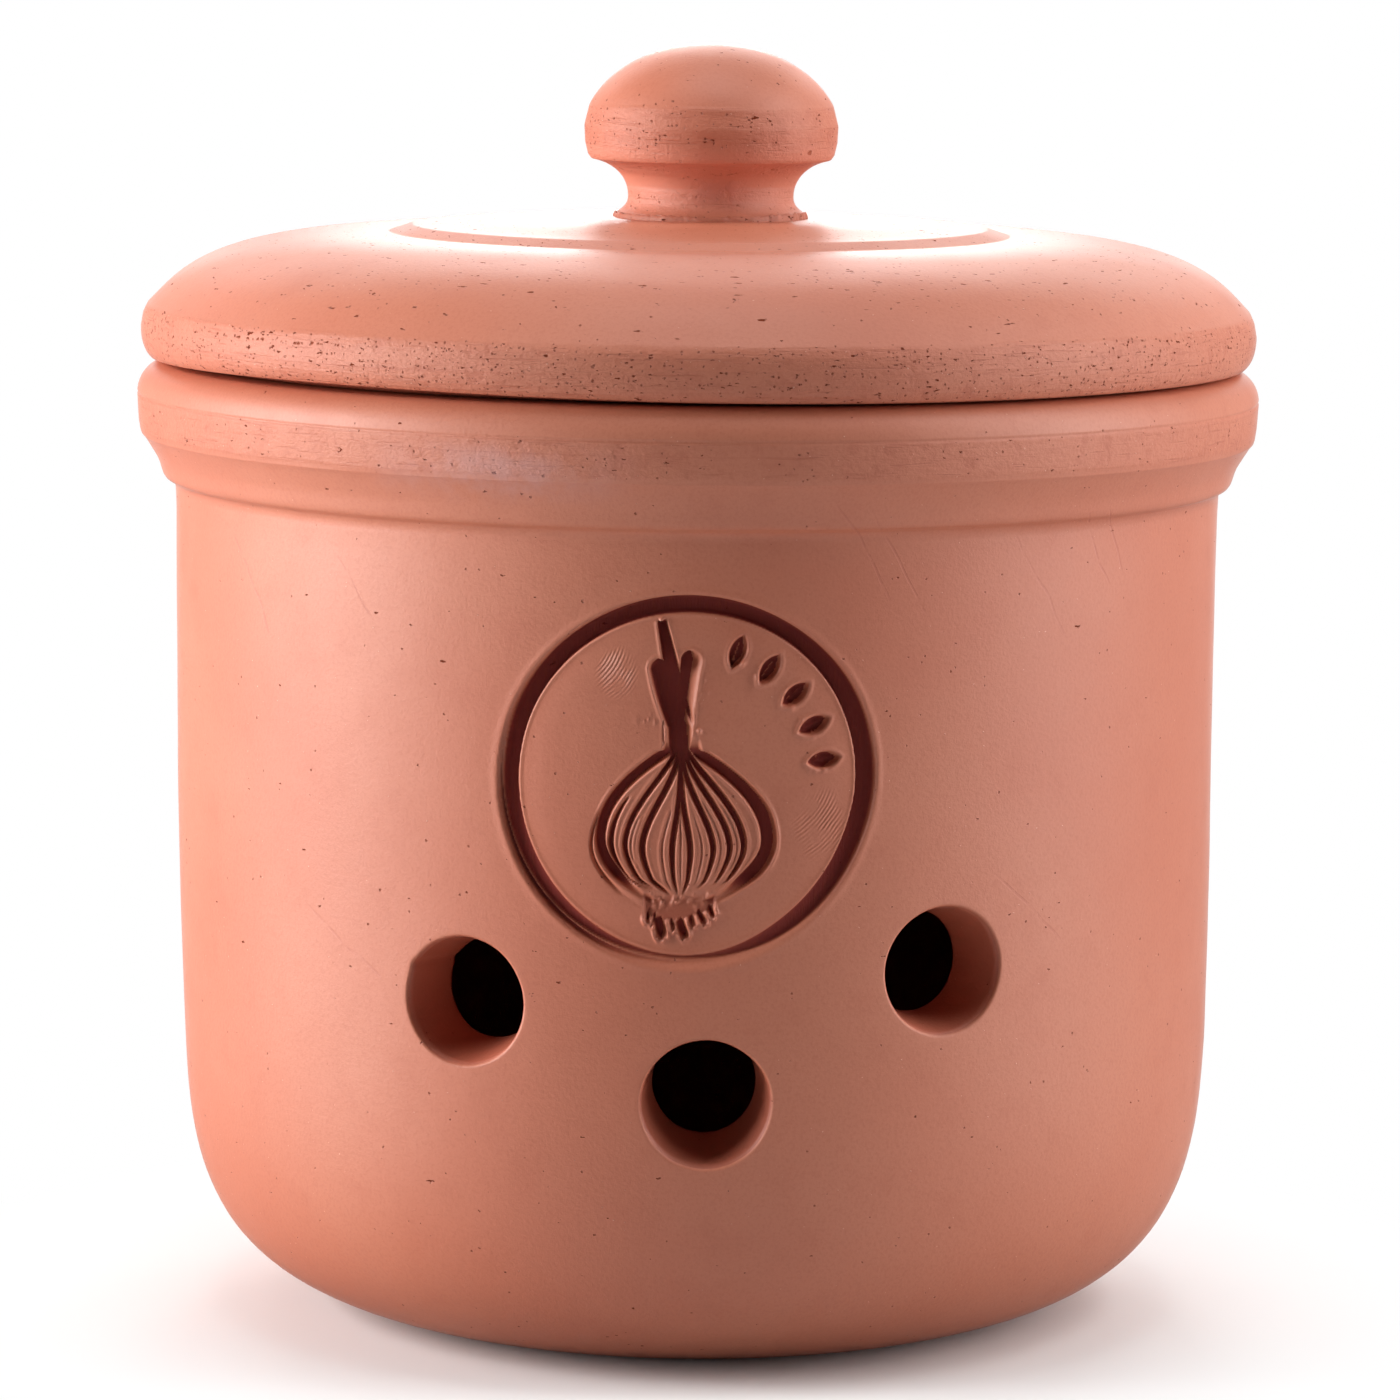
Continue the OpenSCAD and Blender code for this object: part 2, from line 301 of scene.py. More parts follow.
class Bench(Graph):
    """A material being put together on the piece's own coordinates."""

    def __init__(self, name: str) -> None:
        """Starts an empty material."""
        self.material = bpy.data.materials.new(name)
        self.material.use_nodes = True
        super().__init__(self.material.node_tree)
        self.place = self.node("ShaderNodeTexCoord").outputs["Object"]
        self.x, self.y, self.z = self.node("ShaderNodeSeparateXYZ", {0: self.place}).outputs
        self.radius = self.length(self.x, self.y)

    def length(self, a: object, b: object) -> Socket:
        """Gives the length of a step of a one way and b the other."""
        return self.math("SQRT", self.total(self.product(a, a), self.product(b, b)))

    def stretched(self, scale: tuple[float, float, float], shift: float = 0.0) -> Socket:
        """Gives the piece's coordinates with another scale and place."""
        return self.node("ShaderNodeMapping", {
            "Vector": self.place, "Scale": scale,
            "Location": (shift, shift / 2, shift / 3)}).outputs[0]

    def grain(self, vector: object, scale: float, detail: float = 2.0,
              rough: float = 0.5) -> Socket:
        """Adds a noise and gives its strength, from 0 to 1."""
        return self.node("ShaderNodeTexNoise", {
            "Vector": vector, "Scale": scale, "Detail": detail, "Roughness": rough}).outputs["Fac"]

    def spots(self, vector: object, scale: float, size: float, share: object,
              ragged: float) -> Socket:
        """Scatters round spots in some of the cells of a pattern.

        Args:
            vector: Coordinates to use.
            scale: Cells in a metre.
            size: Radius of a spot, as a share of its cell.
            share: Share of the cells that hold a spot.
            ragged: How uneven the spots' outlines are.

        Returns:
            1 inside a spot and 0 outside.
        """
        wobble = self.node("ShaderNodeTexNoise",
                           {"Vector": vector, "Scale": scale * 2.5, "Detail": 2.0})
        shake = self.node("ShaderNodeVectorMath",
                          {0: wobble.outputs["Color"], 1: (0.5, 0.5, 0.5)}, operation="SUBTRACT")
        small = self.node("ShaderNodeVectorMath",
                          {0: shake.outputs[0], "Scale": ragged / scale}, operation="SCALE")
        shaken = self.node("ShaderNodeVectorMath", {0: vector, 1: small.outputs[0]},
                           operation="ADD").outputs[0]
        cells = self.node("ShaderNodeTexVoronoi", {"Vector": shaken, "Scale": scale})
        pick = self.node("ShaderNodeSeparateColor", {0: cells.outputs["Color"]})
        chosen = self.math("LESS_THAN", pick.outputs[0], share)
        reach = self.product(self.total(0.45, self.product(pick.outputs[1], 0.55)), size)
        near = self.rise(self.math("DIVIDE", cells.outputs["Distance"], reach), 1.0, 0.55)
        return self.product(near, chosen)

    def stroke(self, start: Point, end: Point, width: float) -> Socket:
        """Draws a faint uneven scratch on the front.

        Args:
            start: One end, as place across and height in millimetres.
            end: The other end.
            width: Its width in millimetres.

        Returns:
            1 in the scratch and 0 outside.
        """
        length = math.dist(start, end) * MM
        ca, sa = (end[0] - start[0]) * MM / length, (end[1] - start[1]) * MM / length
        x = self.math("SUBTRACT", self.x, start[0] * MM)
        z = self.math("SUBTRACT", self.z, start[1] * MM)
        along = self.total(self.product(x, ca), self.product(z, sa))
        bend = self.product(self.total(self.grain(self.place, 45.0), -0.5), 6.0 * MM)
        across = self.math("ABSOLUTE", self.total(
            self.product(x, -sa), self.product(z, ca), bend))
        broken = self.rise(self.grain(self.place, 330.0, 3.0, 0.6), 0.36, 0.56)
        return self.product(self.window(along, 0.0, length, length * 0.12), broken,
                            self.rise(across, width * MM * 0.75, width * MM * 0.2))

    def mix(self, share: object, a: object, b: object) -> Socket:
        """Mixes two colours."""
        return self.node("ShaderNodeMix", {0: share, 6: a, 7: b}, data_type="RGBA",
                         clamp_factor=True).outputs[2]


@dataclass
class Coat:
    """The look of a surface in the making.

    Attributes:
        bench: The material in hand.
        tint: Its colour so far.
        relief: Its height so far, in millimetres.
        dull: Where it has no gloss so far.
    """

    bench: Bench
    tint: Socket | Colour
    relief: Socket
    dull: Socket

    def stain(self, colour: Colour, *shares: object) -> None:
        """Lays a colour over the rest, by the product of its shares."""
        self.tint = self.bench.mix(self.bench.product(*shares), self.tint, colour)

    def lift(self, *terms: object) -> None:
        """Adds a height, the product of its terms."""
        self.relief = self.bench.total(self.relief, self.bench.product(*terms))

    def dim(self, *shares: object) -> None:
        """Takes the gloss away, by the product of its shares."""
        self.dull = self.bench.most(self.dull, self.bench.product(*shares))


class Figure(Enum):
    """What runs over a clay surface besides its grain."""

    PLAIN = "plain"
    JAR = "jar"
    LID = "lid"
    KNOB = "knob"


@dataclass(frozen=True)
class Clay:
    """Unglazed fired clay with turned bands that are rougher than the rest.

    Attributes:
        name: Name of the finish.
        figure: Marks of its own besides the grain.
        body: Colour of the clay.
        pale: Its colour where it is drier.
        deep: Its colour where it is burnt darker.
        shaded_pits: Painted shade inside a pore or pit.
        grog: Colour of the pale grains in it.
        cut: Painted shade on the floors and shaded walls of the pressed mark.
        torn: Its colour where a pressed floor is streaked.
        wall: Painted shade on the walls inside the holes.
        scratch: Its colour in a scratch.
        bloom: Colour of the salt on it.
        waist: Paler colour on the knob's waist, painted light where the head shades it.
        smear: Colour of slip smeared on it.
        bands: Rough bands, each as lowest and highest height in millimetres.
        band_pits: Share of the pattern's cells with a pit in a band.
        plain_pits: Share of them elsewhere.
        turning: Depth of the turning lines in a band, in millimetres.
        sheen: Roughness of the surface.
        gloss: Strength of its reflection.
        pit_size: Size of the largest pits, as a share of the jar's.
        scoring: How dark the turning lines of a band are.
        strokes: Faint scratches on the jar: both ends, width and strength.
        fingers: Patches of finger lines on the jar: middle, reach and centre of the lines.
    """

    name: str
    figure: Figure = Figure.PLAIN
    body: Colour = (0.53, 0.149, 0.077, 1.0)
    pale: Colour = (0.56, 0.178, 0.098, 1.0)
    deep: Colour = (0.44, 0.103, 0.048, 1.0)
    # Painted shade for the insides of pores and pits.
    shaded_pits: Colour = (0.17, 0.030, 0.014, 1.0)
    grog: Colour = (0.80, 0.46, 0.34, 1.0)
    # Painted shade for the pressed mark's grooves.
    cut: Colour = (0.185, 0.025, 0.032, 1.0)
    torn: Colour = (0.28, 0.058, 0.036, 1.0)
    # Painted shade for the insides of the holes.
    wall: Colour = (0.38, 0.075, 0.038, 1.0)
    scratch: Colour = (0.40, 0.075, 0.045, 1.0)
    bloom: Colour = (0.58, 0.34, 0.34, 1.0)
    # Painted light for the knob's waist, which the head shades.
    waist: Colour = (0.66, 0.24, 0.155, 1.0)
    smear: Colour = (0.62, 0.250, 0.195, 1.0)
    bands: tuple[Point, ...] = ()
    band_pits: float = 0.5
    plain_pits: float = 0.05
    turning: float = 0.05
    sheen: float = 0.52
    gloss: float = 0.80
    pit_size: float = 1.0
    scoring: float = 0.5
    strokes: tuple[tuple[Point, Point, float, float], ...] = (
        ((60.5, 137.0), (64.5, 126.0), 0.30, 0.42), ((64.0, 137.5), (67.5, 127.5), 0.25, 0.36),
        ((50.0, 134.0), (57.0, 119.0), 0.35, 0.22), ((-77.5, 135.5), (-70.5, 127.0), 0.35, 0.45),
        ((-70.5, 127.0), (-66.5, 117.0), 0.40, 0.40), ((-55.0, 130.0), (-50.0, 121.0), 0.3, 0.25),
        ((22.0, 141.0), (29.0, 126.0), 0.40, 0.26), ((27.0, 139.0), (35.0, 124.0), 0.35, 0.22),
        ((47.0, 82.0), (57.0, 70.0), 0.40, 0.20), ((-60.0, 75.0), (-48.0, 64.0), 0.40, 0.22))
    fingers: tuple[tuple[Point, Point, Point], ...] = (
        ((-12.0, 114.6), (3.4, 4.2), (-22.0, 121.3)), ((19.4, 91.0), (4.4, 6.0), (8.4, 100.9)))

    def band_mask(self, bench: Bench) -> Socket:
        """Finds the rough bands.

        Args:
            bench: The material in hand.

        Returns:
            1 on the rough bands and 0 elsewhere.
        """
        wave = bench.product(bench.total(bench.grain(bench.place, 60.0), -0.5), 1.2 * MM)
        height = bench.total(bench.z, wave)
        masks = [bench.window(height, low * MM, high * MM, 0.5 * MM) for low, high in self.bands]
        return bench.total(*masks) if masks else bench.product(bench.z, 0.0)

    def material(self) -> bpy.types.Material:
        """Builds the finish.

        Returns:
            The material.
        """
        bench = Bench(self.name)
        band = self.band_mask(bench)
        broad = bench.grain(bench.place, 14.0, 4.0, 0.55)
        cloud = bench.grain(bench.place, 120.0, 6.0, 0.65)
        fine = bench.grain(bench.place, 1700.0, 3.0, 0.65)
        sponge = bench.grain(bench.place, 420.0, 3.0, 0.6)
        pores, marred = self.pores(bench, band)
        grog = bench.spots(bench.stretched((1.0, 1.0, 1.2), 0.017), 1150.0, 0.17,
                           bench.total(0.05, bench.product(band, 0.15)), 0.5)
        lines = bench.node("ShaderNodeCombineXYZ", {
            0: bench.product(bench.x, 9.0), 1: bench.product(bench.y, 9.0),
            2: bench.total(bench.product(bench.z, 1300.0), bench.product(bench.radius, 800.0))})
        turning = bench.grain(lines.outputs[0], 1.0, 3.0, 0.6)
        drag = bench.grain(bench.stretched((1.0, 1.0, 2.2), 0.031), 900.0, 3.0, 0.6)

        coat = Coat(bench, self.body, bench.product(pores, -0.22), pores)
        coat.stain(self.pale, bench.rise(broad, 0.36, 0.66))
        coat.stain(self.deep, bench.rise(cloud, 0.50, 0.78), 0.28)
        coat.stain(self.deep, bench.rise(fine, 0.42, 0.72), 0.30)
        coat.stain(self.deep, bench.rise(sponge, 0.48, 0.70), band, 0.34)
        coat.stain(self.deep, marred, 0.45)
        # Painted shade inside the pores.
        coat.stain(self.shaded_pits, pores, 0.93)
        coat.stain(self.grog, grog, 0.55)
        coat.stain(self.deep, bench.rise(turning, 0.58, 0.74), band, self.scoring)
        for height in ((marred, -0.05), (grog, 0.05), (sponge, 0.03), (drag, band, 0.11),
                       (fine, bench.total(0.045, bench.product(band, 0.05))),
                       (turning, bench.total(0.010, bench.product(band, self.turning)))):
            coat.lift(*height)
        marks = {Figure.JAR: self.jar_marks, Figure.LID: self.lid_marks,
                 Figure.KNOB: self.knob_marks}
        if self.figure in marks:
            marks[self.figure](coat)

        bump = bench.node("ShaderNodeBump", {"Strength": 1.0, "Distance": MM,
                                             "Height": coat.relief})
        edge_on = bench.node("ShaderNodeLayerWeight", {"Blend": 0.5}).outputs["Facing"]
        rough = bench.product(
            bench.total(self.sheen, bench.product(band, 0.08), bench.product(cloud, 0.08)),
            bench.total(1.0, bench.product(bench.rise(edge_on, 0.82, 0.965), -0.38)))
        gloss = bench.product(self.gloss, bench.math("SUBTRACT", 1.0, coat.dull))
        shader = bench.node("ShaderNodeBsdfPrincipled", {
            "Base Color": coat.tint, "Roughness": rough, "Normal": bump.outputs[0],
            "Specular IOR Level": gloss})
        bench.node("ShaderNodeOutputMaterial", {0: shader.outputs[0]})
        return bench.material

    def pores(self, bench: Bench, band: Socket) -> tuple[Socket, Socket]:
        """Opens small ragged pores in the clay, more of them on the rough bands.

        Args:
            bench: The material in hand.
            band: 1 on the rough bands.

        Returns:
            1 in a pore, and 1 on the scuffed clay round a group of pores.
        """
        drag = bench.stretched((1.0, 1.0, 2.1), 0.031)
        group = bench.grain(bench.place, 230.0, 3.0, 0.6)
        streak = bench.grain(bench.stretched((0.12, 0.12, 2.0)), 900.0, 2.0, 0.6)
        crowd = bench.most(bench.rise(group, 0.40, 0.60),
                           bench.product(bench.rise(streak, 0.52, 0.66), 0.8))
        share = bench.total(bench.product(band, self.band_pits), self.plain_pits)
        big = bench.spots(drag, 330.0, 0.25 * self.pit_size, bench.product(share, crowd, 0.50), 1.0)
        small = bench.spots(drag, 760.0, 0.34, bench.product(share, crowd, 0.62), 0.9)
        prick = bench.spots(bench.place, 1500.0, 0.40, bench.product(share, 0.50), 0.7)
        scuffed = bench.most(bench.rise(group, 0.56, 0.70), bench.rise(streak, 0.58, 0.70))
        return (bench.most(big, small, bench.product(prick, 0.7)), bench.product(scuffed, band))

    def jar_marks(self, coat: Coat) -> None:
        """Adds what only the jar shows: painted shade in the pressed mark and the holes, a salty
        bloom, scratches and finger lines.

        Args:
            coat: The look to add to.
        """
        bench = coat.bench
        front = bench.rise(bench.y, -0.03, -0.06)
        pressed, hole_shade = (bench.node("ShaderNodeAttribute", attribute_name=name).outputs["Fac"]
                          for name in ("pressed", "hole_shade"))
        # Painted shade in the pressed mark's grooves, read from the pressed attribute.
        coat.stain(self.cut, bench.rise(pressed, 0.45, 1.45), 0.82)
        # Painted shade on the walls inside the holes.
        coat.stain(self.wall, hole_shade, 0.6)
        coat.dim(bench.rise(pressed, 0.3, 1.2))

        floor = bench.rise(pressed, 0.9, 1.5)
        streak = bench.grain(bench.stretched((1.0, 1.0, 0.16)), 2100.0, 3.0, 0.6)
        coat.lift(floor, streak, 0.16)
        coat.stain(self.torn, floor, bench.rise(streak, 0.48, 0.70), 0.45)

        coat.stain(self.bloom, bench.window(bench.z, 0.1415, 0.1490, 0.0025),
                   bench.window(bench.x, -0.043, -0.018, 0.014), front,
                   bench.rise(bench.grain(bench.place, 110.0, 6.0, 0.7), 0.34, 0.66), 0.42)

        for start, end, width, strength in self.strokes:
            line = bench.product(bench.stroke(start, end, width), front)
            coat.stain(self.scratch, line, strength)
            coat.lift(line, -0.10 * strength)

        for middle, reach, centre in self.fingers:
            near = [bench.math("DIVIDE", bench.math("SUBTRACT", side, at * MM), size * MM)
                    for side, at, size in zip((bench.x, bench.z), middle, reach)]
            away = [bench.math("SUBTRACT", side, at * MM)
                    for side, at in zip((bench.x, bench.z), centre)]
            loose = bench.rise(bench.grain(bench.place, 300.0, 3.0, 0.6), 0.34, 0.60)
            sway = bench.product(bench.grain(bench.place, 150.0), 9.0)
            lines = bench.math("SINE", bench.total(
                bench.product(bench.length(*away), 11500.0), sway))
            coat.lift(lines, bench.rise(bench.length(*near), 1.15, 0.45), loose, front, 0.050)

    def lid_marks(self, coat: Coat) -> None:
        """Adds what only the lid shows: dragged pits on the shoulder and a dotted tool line, with
        painted shade inside them.

        Args:
            coat: The look to add to.
        """
        bench = coat.bench
        turn = bench.math("ARCTAN2", bench.x, bench.product(bench.y, -1.0))
        round_it = bench.node("ShaderNodeCombineXYZ", {
            0: bench.product(turn, 0.085), 1: bench.product(bench.radius, 3.2),
            2: bench.product(bench.z, 1.2)}).outputs[0]
        drag = bench.product(bench.spots(round_it, 330.0, 0.28, 0.13, 0.8),
                             bench.rise(bench.z, 0.1655, 0.1665))
        tick = bench.product(bench.spots(round_it, 700.0, 0.32, 0.11, 0.7),
                             bench.rise(bench.z, 0.1685, 0.1720))
        wander = bench.product(bench.total(bench.grain(bench.place, 90.0), -0.5), 1.1 * MM)
        dots = bench.product(
            bench.window(bench.total(bench.z, wander), 0.16310, 0.16350, 0.00020),
            bench.window(turn, -1.15, -0.62, 0.06),
            bench.spots(bench.place, 1000.0, 0.52, 0.85, 0.9))
        shaded_pits = bench.most(drag, tick, dots)
        # Painted shade inside the dragged pits, ticks and tool dots.
        coat.stain(self.shaded_pits, shaded_pits, 0.85)
        coat.lift(shaded_pits, -0.18)
        coat.dim(shaded_pits)

    def knob_marks(self, coat: Coat) -> None:
        """Adds what only the knob shows: a waist painted paler, painted light where the head shades
        it, and a smear of slip in front.

        Args:
            coat: The look to add to.
        """
        bench = coat.bench
        # Painted light: the waist, shaded by the head, is painted paler.
        coat.stain(self.waist, bench.window(bench.z, 0.1812, 0.1914, 0.0014), 0.75)
        smear = bench.product(
            bench.window(bench.z, 0.1825, 0.1866, 0.0010),
            bench.window(bench.x, -0.001, 0.0065, 0.0022), bench.rise(bench.y, 0.0, -0.005),
            bench.rise(bench.grain(bench.place, 420.0, 5.0, 0.7), 0.38, 0.60))
        coat.stain(self.smear, smear, 0.5)
        coat.lift(smear, 0.08)
        coat.dim(smear, 0.5)


# The jar's pressed mark


@dataclass(frozen=True)
class Rib:
    """One rib of the pressed onion, which follows the outline at a share of its width.

    Attributes:
        share: Share of the outline's half width at the belly, negative on the left.
        top: Height at which it starts.
        bottom: Height at which it ends.
        half_w: Half its width at the belly.
        depth: Its depth.
    """

    share: float
    top: float
    bottom: float
    half_w: float = 0.42
    depth: float = 1.35


@dataclass(frozen=True)
class Leaf:
    """One cut leaf of the pressed onion.

    Attributes:
        foot: Middle of its lower end.
        tip: Middle of its cut end.
        half_w: Half its width at both ends.
        walls: Width of its left and right walls.
        blunt: How far the tip is rounded, from 0 to 1.
        swell: How much wider it is halfway.
        deep: Its depth, as a share of the leaves' depth.
    """

    foot: Point
    tip: Point
    half_w: Point
    walls: Point
    blunt: float = 1.0
    swell: float = 0.0
    deep: float = 1.0


@dataclass(frozen=True)
class RingCut:
    """The ring's section at one place round it, as distances from the mark's middle.

    Attributes:
        turn: Place round the ring, clockwise from the top, in degrees.
        inner: Where the disc's edge starts to fall.
        foot: Where the floor starts.
        line: Where the deep part ends.
        wall: Where the outer wall of the ledge starts.
        outer: Where that wall ends.
        depth: Depth of the deep part.
        ledge: Depth of the ledge that the second press left.
    """

    turn: float
    inner: float
    foot: float
    line: float
    wall: float
    outer: float
    depth: float
    ledge: float = 0.0


@dataclass
class PressedMark:
    """The round mark at the front: a ring, a ribbed onion and a row of leaf dimples.

    Depths go into the clay. Places are in millimetres from the mark's middle, u to the
    viewer's right round the wall and v upwards.
    """

    height: float = 97.85
    sideways: float = -1.25
    ring_out: float = 29.05
    ring_in: float = 26.0
    ring_cuts: tuple[RingCut, ...] = (
        RingCut(0, 26.05, 26.45, 28.75, 28.5, 29.0, 2.5),
        RingCut(30, 26.45, 26.90, 29.00, 28.8, 29.2, 2.5),
        RingCut(60, 26.75, 27.15, 29.80, 29.6, 30.1, 2.3),
        RingCut(90, 26.60, 26.95, 29.65, 29.5, 29.9, 2.1),
        RingCut(108, 25.95, 26.25, 28.90, 28.8, 29.3, 1.9),
        RingCut(132, 25.60, 26.15, 28.50, 28.4, 28.9, 1.6),
        RingCut(150, 25.75, 26.35, 28.20, 28.2, 29.0, 1.5, 0.35),
        RingCut(164, 26.45, 26.85, 27.75, 27.7, 29.1, 1.2, 0.6),
        RingCut(180, 26.85, 27.05, 27.35, 27.4, 29.1, 1.15, 0.75),
        RingCut(194, 26.60, 27.05, 27.45, 27.8, 29.1, 1.2, 0.9),
        RingCut(212, 26.20, 26.80, 27.85, 28.5, 29.2, 1.4, 1.4),
        RingCut(240, 26.20, 26.80, 28.50, 29.1, 29.6, 1.7, 1.6),
        RingCut(268, 26.35, 26.85, 29.00, 29.3, 29.75, 2.1, 1.5),
        RingCut(292, 26.30, 26.70, 29.00, 29.1, 29.5, 2.4, 0.6),
        RingCut(330, 25.95, 26.35, 28.60, 28.5, 28.9, 2.5))
    reach: float = 31.6
    axis_u: float = -0.8
    neck: Point = (2.1, 4.9)
    belly: Point = (13.7, -9.0)
    root: Point = (4.9, -18.4)
    left_share: float = 0.905
    slip_u: float = -1.4
    slip_v: float = -1.0
    ribs: tuple[Rib, ...] = (
        Rib(-0.873, -2.0, -16.9, 0.36), Rib(-0.70, 8.0, -16.9, 0.36),
        Rib(-0.486, 8.0, -17.7, 0.44), Rib(-0.106, 8.0, -17.4, 0.42),
        Rib(0.12, 8.0, -17.4, 0.42), Rib(0.386, 8.0, -16.3, 0.42),
        Rib(0.574, 8.0, -15.8, 0.42), Rib(0.73, 8.0, -15.7, 0.46),
        Rib(-0.63, -5.0, -13.0, 0.07, 0.5), Rib(-0.235, -4.0, -17.0, 0.07, 0.6),
        Rib(0.007, -0.4, -16.0, 0.06, 0.5), Rib(0.257, -5.0, -16.0, 0.07, 0.6),
        Rib(0.47, -2.0, -14.0, 0.07, 0.5), Rib(0.654, -3.0, -14.0, 0.07, 0.5))
    leaves: tuple[Leaf, ...] = (
        Leaf((-1.6, 8.6), (-4.9, 19.0), (1.55, 1.35), (0.85, 0.3), swell=0.35),
        Leaf((-0.9, 11.0), (-3.95, 24.9), (1.7, 0.8), (0.25, 0.42), blunt=0.2),
        Leaf((-0.75, 8.0), (0.85, 20.4), (1.75, 1.85), (0.25, 1.85), swell=-0.28),
        Leaf((-0.95, 4.6), (-1.15, 10.4), (1.95, 2.0), (0.7, 1.05)),
        Leaf((-3.5, 5.8), (-3.6, 9.6), (0.13, 0.12), (0.12, 0.12), deep=0.15))
    leaf_depth: float = 2.3
    roots: tuple[tuple[Point, Point, float], ...] = (
        ((-5.5, -19.8), (-5.7, -21.3), 0.42), ((-4.5, -20.2), (-4.9, -21.9), 0.36),
        ((-4.0, -21.6), (-3.6, -23.5), 0.86), ((-2.0, -21.4), (-1.75, -22.5), 0.42),
        ((-0.6, -21.7), (-0.05, -23.5), 0.72), ((1.0, -20.9), (1.2, -21.9), 0.50),
        ((2.3, -20.2), (2.9, -21.3), 0.62), ((3.9, -19.4), (4.2, -20.3), 0.55))
    slope_max: float = 4.0
    edge_burr: float = 0.12
    dimples: int = 5
    dimple_from: float = 9.0
    dimple_step: float = 15.0
    dimple_size: Point = (5.5, 2.7)
    dimple_gap: float = 1.6
    dimple_reach: float = 20.4
    crumbs: list[tuple[float, float, float, float]] = field(default_factory=list)

    def __post_init__(self) -> None:
        """Draws the onion's side and scatters the crumbs of clay that the press left."""
        side = [(self.neck[0] - 0.45, self.neck[1] + 3.6), self.neck]
        side += curve(self.neck, self.belly, (0.52, 0.265), (0.0, 0.43), 40)
        side += curve(self.belly, self.root, (0.0, 0.425), (0.37, 0.16), 40)
        self.side_v = np.array([v for _, v in side][::-1])
        self.side_w = np.array([w for w, _ in side][::-1])
        draw = random.Random(11)

        def scatter(count: int, u: Point, v: Point, size: Point, high: Point) -> None:
            """Drops crumbs over an area."""
            for _ in range(count):
                self.crumbs.append((draw.uniform(*u), draw.uniform(*v),
                                    draw.uniform(*size), draw.uniform(*high)))

        scatter(34, (-5.6, 3.8), (-20.4, -17.2), (0.16, 0.36), (0.08, 0.34))
        scatter(7, (-4.2, 1.0), (-18.7, -17.9), (0.22, 0.34), (0.25, 0.45))
        scatter(4, (-4.3, -3.4), (24.6, 25.1), (0.16, 0.24), (0.2, 0.4))
        scatter(3, (1.7, 2.2), (7.7, 8.3), (0.26, 0.36), (0.16, 0.26))
        scatter(7, (1.6, 4.2), (11.5, 16.5), (0.12, 0.2), (0.1, 0.25))
        scatter(7, (-8.2, -4.4), (9.0, 10.4), (0.12, 0.22), (0.1, 0.3))
        for i in range(self.dimples):
            a = math.radians(self.dimple_from + i * self.dimple_step)
            u, v = self.dimple_reach * math.cos(a), self.dimple_reach * math.sin(a)
            scatter(9, (u - 1.6, u + 1.6), (v - 1.6, v + 1.6), (0.14, 0.34), (0.1, 0.34))

    @staticmethod
    def groove(distance: Grid, half_w: Grid | float, wall: float = 0.34) -> Grid:
        """Is 1 on a groove's floor and 0 outside, with steep sides between."""
        return 1 - ramp(distance - half_w, -wall / 2, wall / 2)

    @staticmethod
    def burr(distance: Grid, half_w: Grid | float) -> Grid:
        """The lip of clay that a pressed line pushes up beside it."""
        return bell(distance - half_w, 0.34, 0.20)

    def half_width(self, v: Grid) -> Grid:
        """Half the onion's width at a height."""
        return np.interp(v, self.side_v, self.side_w)

    def slope(self, line: Callable[[Grid], Grid], v: Grid) -> Grid:
        """How fast a line runs sideways at a height, within reason."""
        return np.clip((line(v + 0.05) - line(v - 0.05)) / 0.1, -self.slope_max, self.slope_max)

    def cut_at(self, u: Grid, v: Grid, name: str) -> Grid:
        """Reads one size of the ring's section, smoothed between the places that give it.

        Args:
            u: Places across.
            v: Places up.
            name: Name of the size.

        Returns:
            Its values.
        """
        turns = np.arange(360)
        sizes = np.interp(turns, [cut.turn for cut in self.ring_cuts],
                          [getattr(cut, name) for cut in self.ring_cuts], period=360)
        smooth = np.mean([np.roll(sizes, k) for k in range(-9, 10)], axis=0)
        return np.interp(np.degrees(np.arctan2(u, v)) % 360, turns, smooth, period=360)

    def ring(self, u: Grid, v: Grid) -> Grid:
        """Depth of the ring, which was pressed twice, a little apart.

        Args:
            u: Places across.
            v: Places up.

        Returns:
            The depths.
        """
        rho = np.hypot(u, v)
        ledge = self.cut_at(u, v, "ledge")
        line, outer = self.cut_at(u, v, "line"), self.cut_at(u, v, "outer")
        deep = self.cut_at(u, v, "depth") * (1 - ramp(rho, line - 0.3, line + 0.3))
        step = ledge * (1 - ramp(rho, self.cut_at(u, v, "wall"), outer))
        left_up = 0.9 * bell(rho, line + 0.12, 0.17) * ramp(ledge, 0.6, 1.2)
        lip = bell(rho, outer + 0.45, 0.5) * -0.10
        floor = ramp(rho, self.cut_at(u, v, "inner"), self.cut_at(u, v, "foot"))
        return floor * (np.maximum(deep, step) - left_up) + lip

    def disc(self, u: Grid, v: Grid) -> Grid:
        """Depth of the disc inside the ring, slightly domed, with a sharp raised edge.

        Args:
            u: Places across.
            v: Places up.

        Returns:
            The depths.
        """
        rho = np.hypot(u, v)
        inner, foot = self.cut_at(u, v, "inner"), self.cut_at(u, v, "foot")
        dome = 0.12 + 0.30 * (rho / self.ring_in) ** 2 + 0.10 * ramp(rho, 22.0, 26.0)
        edge = bell(rho, inner - 0.16, 0.26) * self.edge_burr * (1 - ramp(foot - inner, 0.5, 1.3))
        return (1 - ramp(rho, inner, foot)) * dome - edge

